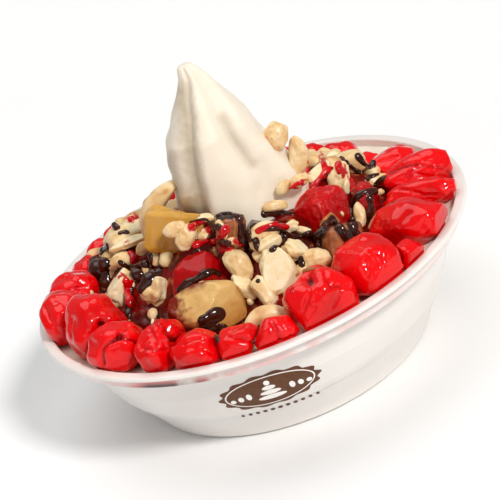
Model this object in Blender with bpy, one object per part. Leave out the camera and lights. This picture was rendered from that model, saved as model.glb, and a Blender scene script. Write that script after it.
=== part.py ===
"""Ice cream sundae: a plastic bowl of soft serve under glazed cherries, fruit, nuts and sauce.

Lengths are millimetres until a mesh is written. The bowl stands on z = 0 with its axis on Z,
and the front of the sundae faces -Y. Heights named "above the rim" are measured from the rim.
"""

import math
import random

import bmesh
import bpy
import numpy as np
from mathutils import Matrix, Vector, noise

MM = 0.001
GAP = 0.3  # clearance between neighbouring solids
SEGMENTS = 40  # sides of each turned shape
random.seed(11)

# Bowl
RIM_HEIGHT = 43.4
RIM_RADIUS = 78.0
FLANGE_WIDTH = 4.0
FLANGE_THICKNESS = 0.9
LIP_DEPTH = 1.4
COLLAR_DEPTH = 5.6
WALL = 1.0
FOOT_RADIUS = 50.0
FOOT_RING = 4.0
FOOT_RECESS = 1.2
LEDGE_HEIGHT = 14.0
LEDGE_DEPTH = 0.7
WALL_OUTLINE = ((1.8, 52.0), (5.2, 53.9), (LEDGE_HEIGHT, 60.2), (17.4, 62.4), (26.0, 66.0), (37.8, 68.6))

# Soft serve, heights above the rim
CREAM_LEVEL = -6.5
CREAM_SLOPE = (  # radius, height of the ice cream outside the swirl
    (25.0, 6.0),
    (33.0, 3.2),
    (42.0, -1.5),
    (50.0, -5.5),
    (57.0, CREAM_LEVEL),
    (62.0, -4.7),
    (67.0, -3.5),
    (73.6, -2.8),
)
SWIRL_TIP = (3.0, 71.2)
SWIRL_SECTIONS = (  # height above the rim, centre on X, radius
    (6.0, 2.0, 25.0),
    (14.0, 2.5, 23.0),
    (20.0, 3.0, 21.4),
    (30.0, 3.0, 19.6),
    (38.0, 3.0, 18.0),
    (47.0, 2.8, 15.4),
    (54.0, 3.4, 11.4),
    (61.0, 3.6, 7.3),
    (66.5, 3.8, 4.6),
    (70.2, 3.0, 2.9),
)
SWIRL_RINGS = 15
SWIRL_VALLEYS = (  # azimuth at the base, azimuth at the tip, half width, depth over the radius
    (-130.0, -112.0, 13.0, 0.13),
    (-56.0, -64.0, 22.0, 0.15),
    (-5.0, 5.0, 18.0, 0.06),
    (62.0, 50.0, 22.0, 0.12),
    (128.0, 110.0, 20.0, 0.12),
)
SWIRL_DENTS = (  # azimuth, top height, half width and depth, where pieces press into the swirl
    (-152.0, 31.0, 24.0, 7.0),
    (-173.0, 40.0, 14.0, 3.5),
    (-15.0, 36.0, 14.0, 2.0),
)

# Cherries, glazed and pressed together in a ring
CHERRIES = (  # azimuth, ring radius, height of the centre above the rim, half sizes: outward, around, high
    (-175.5, 67.4, 3.4, 8.4, 10.4, 8.6),
    (-157.0, 62.2, 4.5, 9.1, 11.5, 11.0),
    (-142.5, 65.3, 3.1, 9.0, 10.1, 7.8),
    (-126.0, 64.0, 3.1, 9.6, 6.8, 7.6),
    (-113.5, 68.4, 2.4, 6.4, 8.4, 6.0),
    (-101.5, 69.5, 2.0, 5.6, 7.2, 5.2),
    (-92.0, 70.3, 1.6, 5.2, 7.6, 5.2),
    (-77.0, 66.5, 3.0, 9.8, 11.7, 9.9),
    (-58.5, 63.8, 3.4, 11.4, 10.4, 8.4),
    (-49.5, 71.0, 1.4, 4.6, 5.6, 4.2),
    (-34.3, 63.2, 2.8, 13.2, 8.2, 7.6),
    (-16.0, 62.7, 2.2, 12.8, 4.8, 4.8),
    (-1.5, 64.0, 2.7, 12.2, 7.0, 6.3),
    (14.0, 59.5, 2.3, 8.4, 7.0, 5.6),
    (26.0, 56.0, 0.6, 5.0, 5.2, 4.4),
    (43.0, 58.5, 1.0, 6.5, 7.8, 5.5),
    (57.0, 62.5, 0.4, 5.2, 5.2, 4.2),
    (72.0, 62.0, 0.6, 7.5, 8.8, 6.2),
    (90.5, 63.0, 0.8, 8.0, 9.2, 6.6),
    (110.5, 63.0, 0.8, 7.8, 9.8, 6.4),
    (131.0, 65.0, 1.6, 5.2, 5.6, 4.6),
    (140.5, 64.8, 1.6, 5.2, 5.4, 4.6),
    (152.5, 63.0, 1.7, 5.6, 6.0, 4.8),
    (169.0, 64.1, 2.9, 8.3, 9.0, 7.2),
)
CHERRY_SIDES = 11
CHERRY_RINGS = 7
CHERRY_GROWTH = 1.05  # makes up for the flat sides of a coarse ball
REACH = 73.2  # nothing but the bowl goes farther out

# Chunks of fruit and chocolate: name, centre, half sizes, turns about X, Y and Z, shape, colour
CHUNKS = (
    ("pineapple_chunk", (-20.0, -10.5, 21.0), (10.5, 5.0, 7.5), (-10, 22, -14), "block", (0.72, 0.45, 0.1)),
    ("jelly_chunk", (-15.0, -26.5, 10.0), (13.0, 7.5, 8.5), (0, 18, 4), "wedge", (0.5, 0.01, 0.01)),
    ("pear_chunk", (-19.0, -42.0, 5.0), (14.0, 8.0, 8.0), (-35, 8, -12), "round", (0.68, 0.38, 0.14)),
    ("strawberry_chunk", (27.0, -19.0, 11.0), (10.5, 6.0, 8.5), (-30, -6, 14), "round", (0.55, 0.01, 0.01)),
    ("strawberry_back", (43.0, -11.0, 4.5), (4.5, 7.5, 7.0), (-12, 0, -10), "round", (0.4, 0.01, 0.01)),
    ("brownie_right", (28.5, -34.5, 4.5), (6.5, 6.0, 6.5), (-14, 20, 24), "block", (0.09, 0.03, 0.015)),
    ("brownie_left", (-3.6, -25.5, 19.0), (4.5, 3.8, 6.5), (-10, 22, 6), "block", (0.12, 0.04, 0.015)),
    ("chocolate_wedge", (3.6, -26.5, 14.5), (3.2, 3.0, 5.5), (-12, 30, -8), "block", (0.05, 0.015, 0.01)),
)

# Nuts that stand clear of the heap: name, centre, length, width, yaw, tilt, bend
LARGE_NUTS = (
    ("cashew_left", (-24.3, -0.5, 26.0), 25.0, 6.5, -14, 44, 5.0),
    ("cashew_swirl", (25.8, -6.5, 26.5), 16.5, 8.5, 15, 62, -2.5),
    ("peanut_swirl", (22.2, -5.5, 37.0), 10.5, 8.0, 10, 55, 0.0),
)

# Heap of chopped nuts in sauce, over its own core
HEAP_SURFACE = ((0.0, 16.0), (24.0, 16.0), (34.0, 11.0), (50.0, 2.0), (56.0, -3.5))
HEAP_MOUNDS = (  # x, y, spread, height
    (-38.0, 18.0, 13.0, 6.0),
    (38.0, 10.0, 12.0, 5.0),
    (-17.0, -22.0, 7.0, 7.0),
    (9.0, -27.0, 7.0, 4.0),
)
HEAP_RADII = (30.0, 38.0, 45.0, 51.0)
HEAP_EDGE = 54.5
HEAP_SINK = 1.2  # the core lies this far below the surface that the nuts give
NUTS = (  # x, y, height above the rim, length, width, yaw, tilt
    (-39, 28, 13.5, 9, 7, 10, -10),
    (-40, 17, 15.5, 15, 4, 0, 0),
    (-37, 10, 14.5, 14, 5, 0, 0),
    (-34, 3, 13.5, 7, 6, 60, 20),
    (-42, 7, 10.5, 9, 6, -20, -30),
    (-49, 25, 8.5, 8, 3, -10, -10),
    (-46, 11, 8.5, 12, 4, -20, -30),
    (-31, -6, 12.0, 7, 4, 85, 45),
    (-27, -12, 12.5, 6, 4, 20, 40),
    (-46, -4, 6.0, 12, 9, 40, 50),
    (-49, 6, 5.5, 8, 4, 20, 40),
    (-33, -20, 8.0, 10, 8, 10, 25),
    (-39, -28, 3.5, 4, 3, 10, 20),
    (-21, -20, 23.0, 9, 6, 0, 0),
    (-18, -22, 21.0, 10, 6, 25, 40),
    (-12, -25, 20.5, 8, 6, 20, 35),
    (-10, -22, 24.0, 7, 4, 0, -10),
    (-6, -30, 13.5, 7, 3, -60, -50),
    (-5, -36, 10.0, 11, 8, -50, -50),
    (-6, -43, 6.5, 9, 5, -30, -40),
    (-2, -47, 4.5, 8, 6, 80, 50),
    (7, -44, 6.5, 15, 9, 75, 55),
    (-3, -56, -0.5, 16, 5, 0, -5),
    (19, -44, 4.5, 10, 7, 0, 5),
    (2, -36, 8.5, 7, 5, 10, 20),
    (15, -37, 8.0, 10, 6, -30, -40),
    (7, -28, 17.5, 12, 5, 10, 15),
    (8, -32, 13.5, 9, 6, 10, 20),
    (16, -28, 13.5, 8, 5, 0, 0),
    (20, -30, 11.5, 6, 3, -20, -30),
    (13, -22, 18.0, 10, 4, -10, -15),
    (32, 5, 16.0, 8, 4, 40, 50),
    (38, 9, 14.0, 7, 4, -20, -30),
    (32, -5, 15.0, 9, 5, 10, 15),
    (39, -2, 12.0, 9, 7, 30, 45),
    (46, 7, 9.5, 11, 5, -25, -40),
    (25, -9, 17.0, 8, 4, 10, 15),
    (52, -2, 3.0, 9, 4, 0, -5),
    (40, -26, 4.5, 10, 4, 65, 55),
)
HIDDEN_NUTS = 15  # more of the same round the back, by a seeded rule
HIDDEN_AZIMUTHS = (25.0, 150.0)
SAUCE_RIBBONS = (  # radius, then the points of each thick ribbon
    (1.3, ((3, -33, 15.0), (9, -35, 14.8), (14, -33, 14.2), (21, -34, 11.0), (24, -38, 7.5))),
    (1.4, ((-29, -31, 6.5), (-22, -33, 10.2), (-15, -31.5, 12.6), (-9, -30, 13.2))),
    (1.6, ((42, 1, 13.0), (45, 6, 11.6), (47, 11, 10.0), (50, 15, 6.0))),
    (1.8, ((-50, 2, 5.5), (-50, -6, 3.0), (-47, -13, 2.2))),
)
RIBBON_SIDES = 6
MERGE = 0.00002  # metres: points closer than this are one after the heap is cut


def remove_scene_objects():
    """Start from an empty scene."""
    for stale in list(bpy.data.objects):
        bpy.data.objects.remove(stale, do_unlink=True)


def material(name, colour, roughness=0.35, alpha=1.0):
    """A Principled material of one colour."""
    finish = bpy.data.materials.new(name)
    finish.use_nodes = True
    shader = finish.node_tree.nodes["Principled BSDF"]
    shader.inputs["Base Color"].default_value = (*colour, 1.0)
    shader.inputs["Roughness"].default_value = roughness
    shader.inputs["Metallic"].default_value = 0.0
    shader.inputs["Alpha"].default_value = alpha
    return finish


def mesh_object(name, points, faces, finish):
    """Make an object from points in millimetres and faces as lists of indices."""
    mesh = bpy.data.meshes.new(name)
    mesh.from_pydata([Vector(point) * MM for point in points], [], faces)
    shape = bmesh.new()
    shape.from_mesh(mesh)
    bmesh.ops.recalc_face_normals(shape, faces=shape.faces)
    shape.to_mesh(mesh)
    shape.free()
    mesh.shade_smooth()
    mesh.set_sharp_from_angle(angle=math.radians(40))
    mesh.materials.append(finish)
    made = bpy.data.objects.new(name, mesh)
    bpy.context.scene.collection.objects.link(made)
    return made


def interpolate(pairs, value, column=1):
    """Read a column of a table of rows that start with their key, in rising order."""
    return float(np.interp(value, [row[0] for row in pairs], [row[column] for row in pairs]))


def polar(azimuth, radius, height):
    """A point from its azimuth in degrees, radius and height."""
    turn = math.radians(azimuth)
    return Vector((radius * math.cos(turn), radius * math.sin(turn), height))


def azimuths():
    """The azimuths of the sides of a turned shape."""
    return [360.0 * side / SEGMENTS for side in range(SEGMENTS)]


def loft(sections):
    """Join rings of equal size, and a single point at each end, to a closed surface."""
    points, faces = [], []
    first_rows = []
    for section in sections:
        first_rows.append(len(points))
        points.extend(section)
    for lower, upper, start, end in zip(sections, sections[1:], first_rows, first_rows[1:]):
        for side in range(SEGMENTS):
            following = (side + 1) % SEGMENTS
            if len(lower) == 1:
                faces.append((start, end + side, end + following))
            elif len(upper) == 1:
                faces.append((start + side, start + following, end))
            else:
                faces.append((start + side, start + following, end + following, end + side))
    return points, faces


def turned(profile):
    """Sections of a shape turned about Z from its (radius, height) profile."""
    return [
        [polar(azimuth, radius, height) for azimuth in azimuths()] if radius else [Vector((0, 0, height))]
        for radius, height in profile
    ]


# Bowl


def wall_inner_radius(height):
    """Inside radius of the bowl's wall at a height over the ground."""
    return interpolate(WALL_OUTLINE, height) - WALL


def bowl_profile():
    """Closed outline of the bowl from the middle of its underside to the middle of its floor."""
    floor = FOOT_RECESS + WALL
    collar_inner = RIM_RADIUS - FLANGE_WIDTH
    collar_foot = RIM_HEIGHT - COLLAR_DEPTH
    flange_under = RIM_HEIGHT - FLANGE_THICKNESS
    ledge_radius = interpolate(WALL_OUTLINE, LEDGE_HEIGHT)
    foot = [
        (0.0, FOOT_RECESS),
        (FOOT_RADIUS - FOOT_RING - 0.6, FOOT_RECESS),
        (FOOT_RADIUS - FOOT_RING, 0.0),
        (FOOT_RADIUS, 0.0),
        (FOOT_RADIUS + 1.5, 0.9),
    ]
    lower_wall = [(radius, height) for height, radius in WALL_OUTLINE if height < LEDGE_HEIGHT]
    ledge = [(ledge_radius - LEDGE_DEPTH, LEDGE_HEIGHT), (ledge_radius + 0.2, LEDGE_HEIGHT + 0.6)]
    upper_wall = [(radius, height) for height, radius in WALL_OUTLINE if height > LEDGE_HEIGHT]
    collar = [(collar_inner + WALL, collar_foot), (collar_inner + WALL, flange_under)]
    flange = [
        (RIM_RADIUS - 1.0, flange_under),
        (RIM_RADIUS - 0.9, RIM_HEIGHT - LIP_DEPTH),
        (RIM_RADIUS - 0.1, RIM_HEIGHT - LIP_DEPTH),
        (RIM_RADIUS, RIM_HEIGHT - 0.6),
        (RIM_RADIUS - 0.6, RIM_HEIGHT),
        (collar_inner + 0.4, RIM_HEIGHT),
        (collar_inner, RIM_HEIGHT - 0.4),
    ]
    shoulder_height = collar_foot + WALL
    shoulder = [
        (collar_inner, shoulder_height),
        (wall_inner_radius(collar_foot) - 0.1, shoulder_height),
    ]
    inner_heights = (34.0, 26.0, 17.4, 9.0, floor + 1.4)
    inner_wall = [(wall_inner_radius(height) - 0.1, height) for height in inner_heights]
    outer = foot + lower_wall + ledge + upper_wall + collar + flange
    return outer + shoulder + inner_wall + [(49.0, floor), (0.0, floor)]


def build_bowl():
    """The thin plastic bowl with its flange, collar, ledge and foot ring."""
    points, faces = loft(turned(bowl_profile()))
    return mesh_object("bowl", points, faces, material("translucent_plastic", (0.86, 0.83, 0.8), 0.3))


# Soft serve


def angle_between(first, second):
    """Smallest difference of two azimuths in degrees."""
    return (first - second + 180.0) % 360.0 - 180.0


def swirl_radius(azimuth, height):
    """Radius of the swirl about its own leaning axis."""
    radius = interpolate(SWIRL_SECTIONS, height, 2)
    rise = min(max((height - SWIRL_SECTIONS[0][0]) / (SWIRL_TIP[1] - SWIRL_SECTIONS[0][0]), 0.0), 1.0)
    relief = 0.0
    for base, tip, width, depth in SWIRL_VALLEYS:
        middle = base + angle_between(tip, base) * rise
        relief += depth * math.exp(-((angle_between(azimuth, middle) / width) ** 2))
    dent = 0.0
    for middle, top, width, depth in SWIRL_DENTS:
        fade = min(max((top - height) / 6.0, 0.0), 1.0)
        dent = max(dent, depth * fade * math.exp(-((angle_between(azimuth, middle) / width) ** 2)))
    return radius * (1.0 - relief) - dent


def swirl_section(height, clearance=0.0):
    """One ring of points round the swirl at a height above the rim."""
    centre = Vector((interpolate(SWIRL_SECTIONS, height), 0.0, RIM_HEIGHT))
    return [
        polar(azimuth, swirl_radius(azimuth, height) + clearance, height) + centre
        for azimuth in azimuths()
    ]


def soft_serve_sections():
    """Rings of the filling, from the bowl's floor up its wall, over the surface and up the swirl."""
    floor = FOOT_RECESS + WALL + GAP
    shoulder = RIM_HEIGHT - COLLAR_DEPTH + WALL + 1.2 * GAP
    wall_heights = (floor + 1.4, 9.0, 17.4, 26.0, 34.0)
    profile = [(0.0, floor), (49.0 - 1.5 * GAP, floor)]
    profile += [(wall_inner_radius(height) - 0.1 - 1.2 * GAP, height) for height in wall_heights]
    edge, _ = CREAM_SLOPE[-1]
    profile += [(wall_inner_radius(shoulder) - 0.1 - 1.2 * GAP, shoulder), (edge - 0.5, shoulder)]
    profile += [(radius, RIM_HEIGHT + height) for radius, height in reversed(CREAM_SLOPE[1:])]
    start, end = SWIRL_SECTIONS[0][0], SWIRL_SECTIONS[-1][0]
    heights = [start + (end - start) * row / (SWIRL_RINGS - 1) for row in range(SWIRL_RINGS)]
    tip = Vector((SWIRL_TIP[0], 0.0, RIM_HEIGHT + SWIRL_TIP[1]))
    return turned(profile) + [swirl_section(height) for height in heights] + [[tip]]


def build_soft_serve():
    """The soft serve that fills the bowl and rises in a pleated swirl, as one solid."""
    points, faces = loft(soft_serve_sections())
    return mesh_object("soft_serve", points, faces, material("soft_serve_cream", (0.93, 0.86, 0.72), 0.5))


# Soft pieces that press against their neighbours without overlap


def directions(count=160):
    """Unit vectors spread evenly over a sphere."""
    turn = math.pi * (3.0 - math.sqrt(5.0))
    steps = np.arange(count)
    heights = 1.0 - 2.0 * (steps + 0.5) / count
    level = np.sqrt(1.0 - heights**2)
    return np.column_stack([level * np.cos(turn * steps), level * np.sin(turn * steps), heights])


DIRECTIONS = directions()


def parting(first, second):
    """The direction from first to second in which they overlap least, with the overlap."""
    along = second.mean(axis=0) - first.mean(axis=0)
    candidates = np.vstack([along / np.linalg.norm(along), DIRECTIONS])
    overlap = (first @ candidates.T).max(axis=0) - (second @ candidates.T).min(axis=0)
    best = int(np.argmin(overlap))
    return candidates[best], float(overlap[best])


def hold_beyond(points, normal, limit):
    """Push points that lie short of a plane onto it."""
    shortfall = np.maximum(limit - points @ normal, 0.0)
    return points + shortfall[:, None] * normal


def press_together(first, second):
    """Flatten two soft pieces against each other, each by half."""
    normal, overlap = parting(first, second)
    if overlap <= -GAP:
        return first, second
    meeting = (first @ normal).max() - overlap / 2.0
    near = hold_beyond(first, -normal, -(meeting - GAP / 2.0))
    far = hold_beyond(second, normal, meeting + GAP / 2.0)
    return near, far


def press_onto(points, fixed):
    """Flatten a piece where it meets one that keeps its shape."""
    normal, overlap = parting(fixed, points)
    if overlap <= -GAP:
        return points
    return hold_beyond(points, normal, float((fixed @ normal).max()) + GAP)


def keep_in_bowl(points):
    """Hold a piece above the ice cream and inside the collar."""
    held = points.copy()
    reach = np.hypot(held[:, 0], held[:, 1])
    held[:, :2] *= np.minimum(REACH / np.maximum(reach, 1.0), 1.0)[:, None]
    reach = np.minimum(reach, REACH)
    lowest = np.interp(reach, [row[0] for row in CREAM_SLOPE], [row[1] for row in CREAM_SLOPE])
    held[:, 2] = np.maximum(held[:, 2], RIM_HEIGHT + lowest + 2.0 * GAP)
    return held


def ball(sides, rings):
    """Points and faces of a ball of radius 1."""
    shape = bmesh.new()
    bmesh.ops.create_uvsphere(shape, u_segments=sides, v_segments=rings, radius=1.0)
    points = np.array([tuple(vertex.co) for vertex in shape.verts])
    faces = [tuple(vertex.index for vertex in face.verts) for face in shape.faces]
    shape.free()
    return points, faces


def lumpy(points, depth, seed):
    """Scale each point of a ball by smooth noise."""
    shift = Vector((seed, 2.0 * seed, 0.0))
    return np.array([point * (1.0 + depth * noise.noise(Vector(point) * 1.6 + shift)) for point in points])


def cherry_points(number, azimuth, ring_radius, height, outward, around, high):
    """One cherry, a little uneven, in its place in the ring."""
    points, _ = ball(CHERRY_SIDES, CHERRY_RINGS)
    points = lumpy(points, 0.16, 3.7 * number) * (outward, around, high) * CHERRY_GROWTH
    turn = np.array(Matrix.Rotation(math.radians(azimuth), 3, "Z"))
    return points @ turn.T + np.array(polar(azimuth, ring_radius, RIM_HEIGHT + height))


def cherry_ring():
    """Points of every cherry, pressed against its neighbours, the soft serve and the rim."""
    cherries = [cherry_points(number, *place) for number, place in enumerate(CHERRIES, 1)]
    for _ in range(3):
        cherries = [keep_in_bowl(cherry) for cherry in cherries]
        for first in range(len(cherries)):
            for second in range(first + 1, len(cherries)):
                pair = press_together(cherries[first], cherries[second])
                cherries[first], cherries[second] = pair
    return [keep_in_bowl(cherry) for cherry in cherries]


# Chunks and large nuts


def block_shape():
    """A box with bevelled edges, and slightly uneven corners."""
    shape = bmesh.new()
    bmesh.ops.create_cube(shape, size=2.0)
    bmesh.ops.bevel(shape, geom=shape.edges[:], offset=0.22, segments=1, affect="EDGES")
    for vertex in shape.verts:
        vertex.co *= 1.0 + 0.08 * noise.noise(vertex.co * 1.3)
    bmesh.ops.triangulate(shape, faces=shape.faces[:])
    return shape


def round_shape():
    """A rounded piece of fruit."""
    shape = bmesh.new()
    bmesh.ops.create_icosphere(shape, subdivisions=2, radius=1.0)
    for vertex in shape.verts:
        vertex.co *= 1.08 + 0.1 * noise.noise(vertex.co * 1.4)
    return shape


def wedge_shape():
    """A cut piece with a ridge that slopes down to the front."""
    ridge = ((-0.15, -0.95, 0.1), (0.1, 0.3, 1.0), (-0.1, 0.9, 0.9))
    foot = ((-1.0, -0.7, -0.9), (1.0, -0.8, -0.9), (1.0, 0.9, -0.8), (-1.0, 0.9, -0.8), (-0.9, 0.2, 0.25))
    shape = bmesh.new()
    for corner in ridge + foot:
        shape.verts.new(corner)
    bmesh.ops.convex_hull(shape, input=shape.verts[:])
    bmesh.ops.bevel(shape, geom=shape.edges[:], offset=0.1, segments=1, affect="EDGES")
    bmesh.ops.triangulate(shape, faces=shape.faces[:])
    return shape


SHAPES = {"block": block_shape, "round": round_shape, "wedge": wedge_shape}


def chunk_piece(centre, half_sizes, turns, shape_name):
    """Points and faces of a chunk in its place."""
    shape = SHAPES[shape_name]()
    shape.verts.index_update()
    points = np.array([tuple(vertex.co) for vertex in shape.verts]) * half_sizes
    faces = [tuple(vertex.index for vertex in face.verts) for face in shape.faces]
    shape.free()
    about_x, about_y, about_z = (
        Matrix.Rotation(math.radians(turn), 3, axis) for turn, axis in zip(turns, "XYZ")
    )
    rotation = about_z @ about_y @ about_x
    x, y, z = centre
    return points @ np.array(rotation).T + (x, y, RIM_HEIGHT + z), faces


def nut_piece(centre, length, width, yaw, tilt, bend=0.0, sides=8, rings=6):
    """A nut: a long ball, bent along its length, with its axis along yaw and tilt."""
    points, faces = ball(sides, rings)
    points = points[:, [2, 0, 1]]
    faces = [tuple(face) for face in faces]
    points = lumpy(points, 0.16, length + width + centre[0])
    points = points * (length / 2.0, width / 2.0, width * 0.42)
    points[:, 2] -= bend * ((points[:, 0] * 2.0 / length) ** 2 - 0.3)
    rotation = Matrix.Rotation(math.radians(yaw), 3, "Z") @ Matrix.Rotation(math.radians(-tilt), 3, "Y")
    x, y, z = centre
    return points @ np.array(rotation).T + (x, y, RIM_HEIGHT + z), faces


def near_swirl(points):
    """Points of the swirl at the heights that a piece spans."""
    low = points[:, 2].min() - RIM_HEIGHT - 3.0
    high = points[:, 2].max() - RIM_HEIGHT + 3.0
    start = max(low, SWIRL_SECTIONS[0][0])
    heights = [start, (start + high) / 2.0, max(high, start + 1.0)]
    return np.array([tuple(point) for height in heights for point in swirl_section(height)])


def raised_pieces(cherries):
    """Every chunk and large nut, each pressed onto those before it."""
    pieces = {}
    for name, centre, half_sizes, turns, shape_name, colour in CHUNKS:
        pieces[name] = (*chunk_piece(centre, half_sizes, turns, shape_name), colour)
    for name, centre, length, width, yaw, tilt, bend in LARGE_NUTS:
        pieces[name] = (*nut_piece(centre, length, width, yaw, tilt, bend, 10, 8), (0.78, 0.6, 0.36))
    settled = {}
    for name, (points, faces, colour) in pieces.items():
        for _ in range(4):
            points = keep_in_bowl(points)
            points = press_onto(points, near_swirl(points))
            for cherry in cherries:
                points = press_onto(points, cherry)
            for other, _, _ in settled.values():
                points = press_onto(points, other)
        settled[name] = (points, faces, colour)
    return settled


# Heap


def heap_height(x, y):
    """Height above the rim of the surface that the nuts lie on."""
    height = interpolate(HEAP_SURFACE, math.hypot(x, y))
    for mound_x, mound_y, spread, rise in HEAP_MOUNDS:
        height += rise * math.exp(-((x - mound_x) ** 2 + (y - mound_y) ** 2) / (2.0 * spread**2))
    return height


def heap_core():
    """The sauce-soaked core: a lumpy ring round the swirl on the soft serve's slope."""
    base = SWIRL_SECTIONS[0][0]
    bottom = [swirl_section(base + 0.6, 2.0)]
    bottom += [
        [polar(azimuth, radius, RIM_HEIGHT + height + 1.5 * GAP) for azimuth in azimuths()]
        for radius, height in CREAM_SLOPE[1:4]
    ]
    edge = [polar(azimuth, HEAP_EDGE, RIM_HEIGHT + CREAM_LEVEL + 4 * GAP) for azimuth in azimuths()]
    top = []
    for radius in reversed(HEAP_RADII):
        ring = []
        for azimuth in azimuths():
            point = polar(azimuth, radius, 0.0)
            lump = 1.4 * noise.noise(point * 0.12)
            point.z = RIM_HEIGHT + heap_height(point.x, point.y) - HEAP_SINK + lump
            ring.append(point)
        top.append(ring)
    inner = swirl_section(heap_height(0.0, 0.0) - HEAP_SINK, 1.2)
    sections = bottom + [edge] + top + [inner]
    points, faces = loft(sections)
    rows = len(sections) - 1
    for side in range(SEGMENTS):
        following = (side + 1) % SEGMENTS
        faces.append((rows * SEGMENTS + side, rows * SEGMENTS + following, following, side))
    return points, faces


def hidden_nuts():
    """Places of the nuts round the back, spread evenly with seeded draws."""
    start, end = HIDDEN_AZIMUTHS
    for index in range(HIDDEN_NUTS):
        azimuth = start + (end - start) * (index + 0.5) / HIDDEN_NUTS
        radius = 31.0 + 20.0 * ((index * 0.618) % 1.0)
        point = polar(azimuth, radius, 0.0)
        height = heap_height(point.x, point.y) + random.uniform(0.0, 1.2)
        length = random.uniform(8.0, 14.0)
        width = random.uniform(4.5, 7.0)
        yaw = random.uniform(-90, 90)
        tilt = random.uniform(-25, 25)
        yield point.x, point.y, height, length, width, yaw, tilt


def ribbon(radius, route):
    """A thick run of sauce along a route, with rounded-off ends."""
    knots = [Vector((x, y, RIM_HEIGHT + z)) for x, y, z in route]
    points, faces = [], []
    for index, knot in enumerate(knots):
        before, after = knots[max(index - 1, 0)], knots[min(index + 1, len(knots) - 1)]
        along = (after - before).normalized()
        side = along.cross(Vector((0.0, 0.0, 1.0))).normalized()
        upward = side.cross(along)
        size = radius * (0.55 if index in (0, len(knots) - 1) else 1.0)
        for step in range(RIBBON_SIDES):
            turn = 2.0 * math.pi * step / RIBBON_SIDES
            points.append(knot + (side * math.cos(turn) + upward * math.sin(turn)) * size)
    for index in range(len(knots) - 1):
        for step in range(RIBBON_SIDES):
            following = (step + 1) % RIBBON_SIDES
            low, high = index * RIBBON_SIDES, (index + 1) * RIBBON_SIDES
            faces.append((low + step, low + following, high + following, high + step))
    last = (len(knots) - 1) * RIBBON_SIDES
    faces.append(tuple(range(RIBBON_SIDES)))
    faces.append(tuple(range(last, last + RIBBON_SIDES)))
    return points, faces


def wrapped(shape):
    """Replace a shape by its convex hull."""
    bmesh.ops.delete(shape, geom=shape.edges[:], context="EDGES_FACES")
    hull = bmesh.ops.convex_hull(shape, input=shape.verts[:])
    inner = {item for key in ("geom_interior", "geom_unused") for item in hull[key]}
    inner_points = [item for item in inner if isinstance(item, bmesh.types.BMVert)]
    bmesh.ops.delete(shape, geom=inner_points, context="VERTS")


def inflated(source, collection, wrap):
    """A copy of an object grown by a little over the gap, as a cutter."""
    cutter = source.copy()
    cutter.data = source.data.copy()
    shape = bmesh.new()
    shape.from_mesh(cutter.data)
    if wrap:
        wrapped(shape)
    bmesh.ops.triangulate(shape, faces=shape.faces[:])
    bmesh.ops.recalc_face_normals(shape, faces=shape.faces[:])
    shape.normal_update()
    growth = 1.25 * GAP * MM
    moved = [
        vertex.co + vertex.normal * growth * min(vertex.calc_shell_factor(), 2.5) for vertex in shape.verts
    ]
    for vertex, place in zip(shape.verts, moved):
        vertex.co = place
    shape.to_mesh(cutter.data)
    shape.free()
    cutter.hide_render = True
    cutter.display_type = "WIRE"
    collection.objects.link(cutter)
    return cutter


def apply_boolean(target, collection, operation):
    """Combine an object with a whole collection, then remove the collection's objects."""
    modifier = target.modifiers.new(operation.lower(), "BOOLEAN")
    modifier.operation = operation
    modifier.operand_type = "COLLECTION"
    modifier.collection = collection
    modifier.solver = "EXACT"
    graph = bpy.context.evaluated_depsgraph_get()
    combined = bpy.data.meshes.new_from_object(target.evaluated_get(graph))
    target.modifiers.remove(modifier)
    target.data = combined
    for used in list(collection.objects):
        bpy.data.objects.remove(used, do_unlink=True)
    bpy.data.collections.remove(collection)


def keep_largest_body(target):
    """Drop loose scraps and fill sealed hollows, which are separate shells of faces."""
    shape = bmesh.new()
    shape.from_mesh(target.data)
    bmesh.ops.triangulate(shape, faces=shape.faces[:])
    bmesh.ops.remove_doubles(shape, verts=shape.verts[:], dist=MERGE)
    bmesh.ops.dissolve_degenerate(shape, dist=MERGE, edges=shape.edges[:])
    bmesh.ops.triangulate(shape, faces=shape.faces[:])
    unseen = set(shape.faces)
    shells = []
    while unseen:
        shell = {unseen.pop()}
        front = list(shell)
        while front:
            face = front.pop()
            for edge in face.edges:
                if len(edge.link_faces) == 2:
                    fresh = [other for other in edge.link_faces if other not in shell]
                    shell.update(fresh)
                    front.extend(fresh)
        unseen -= shell
        shells.append(shell)
    shells.sort(key=len)
    for scrap in shells[:-1]:
        bmesh.ops.delete(shape, geom=list(scrap), context="FACES")
    shape.to_mesh(target.data)
    shape.free()


def working_collection(name):
    """A collection for the objects of one Boolean step."""
    collection = bpy.data.collections.new(name)
    bpy.context.scene.collection.children.link(collection)
    return collection


def build_heap(neighbours):
    """The heap: core, nuts and thick sauce as one solid, cut clear of what it surrounds."""
    finish = material("nuts_in_sauce", (0.7, 0.5, 0.28), 0.4)
    points, faces = heap_core()
    heap = mesh_object("topping_heap", points, faces, finish)
    added = working_collection("heap_pieces")
    pieces = [nut_piece(nut[:3], *nut[3:], 0.0, 6, 4) for nut in (*NUTS, *hidden_nuts())]
    pieces += [ribbon(radius, route) for radius, route in SAUCE_RIBBONS]
    for number, (piece_points, piece_faces) in enumerate(pieces):
        piece = mesh_object(f"heap_piece_{number}", piece_points, piece_faces, finish)
        bpy.context.scene.collection.objects.unlink(piece)
        added.objects.link(piece)
    apply_boolean(heap, added, "UNION")
    cutters = working_collection("heap_cutters")
    for neighbour in neighbours:
        inflated(neighbour, cutters, wrap=neighbour.name != "soft_serve")
    apply_boolean(heap, cutters, "DIFFERENCE")
    keep_largest_body(heap)
    return heap


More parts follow.
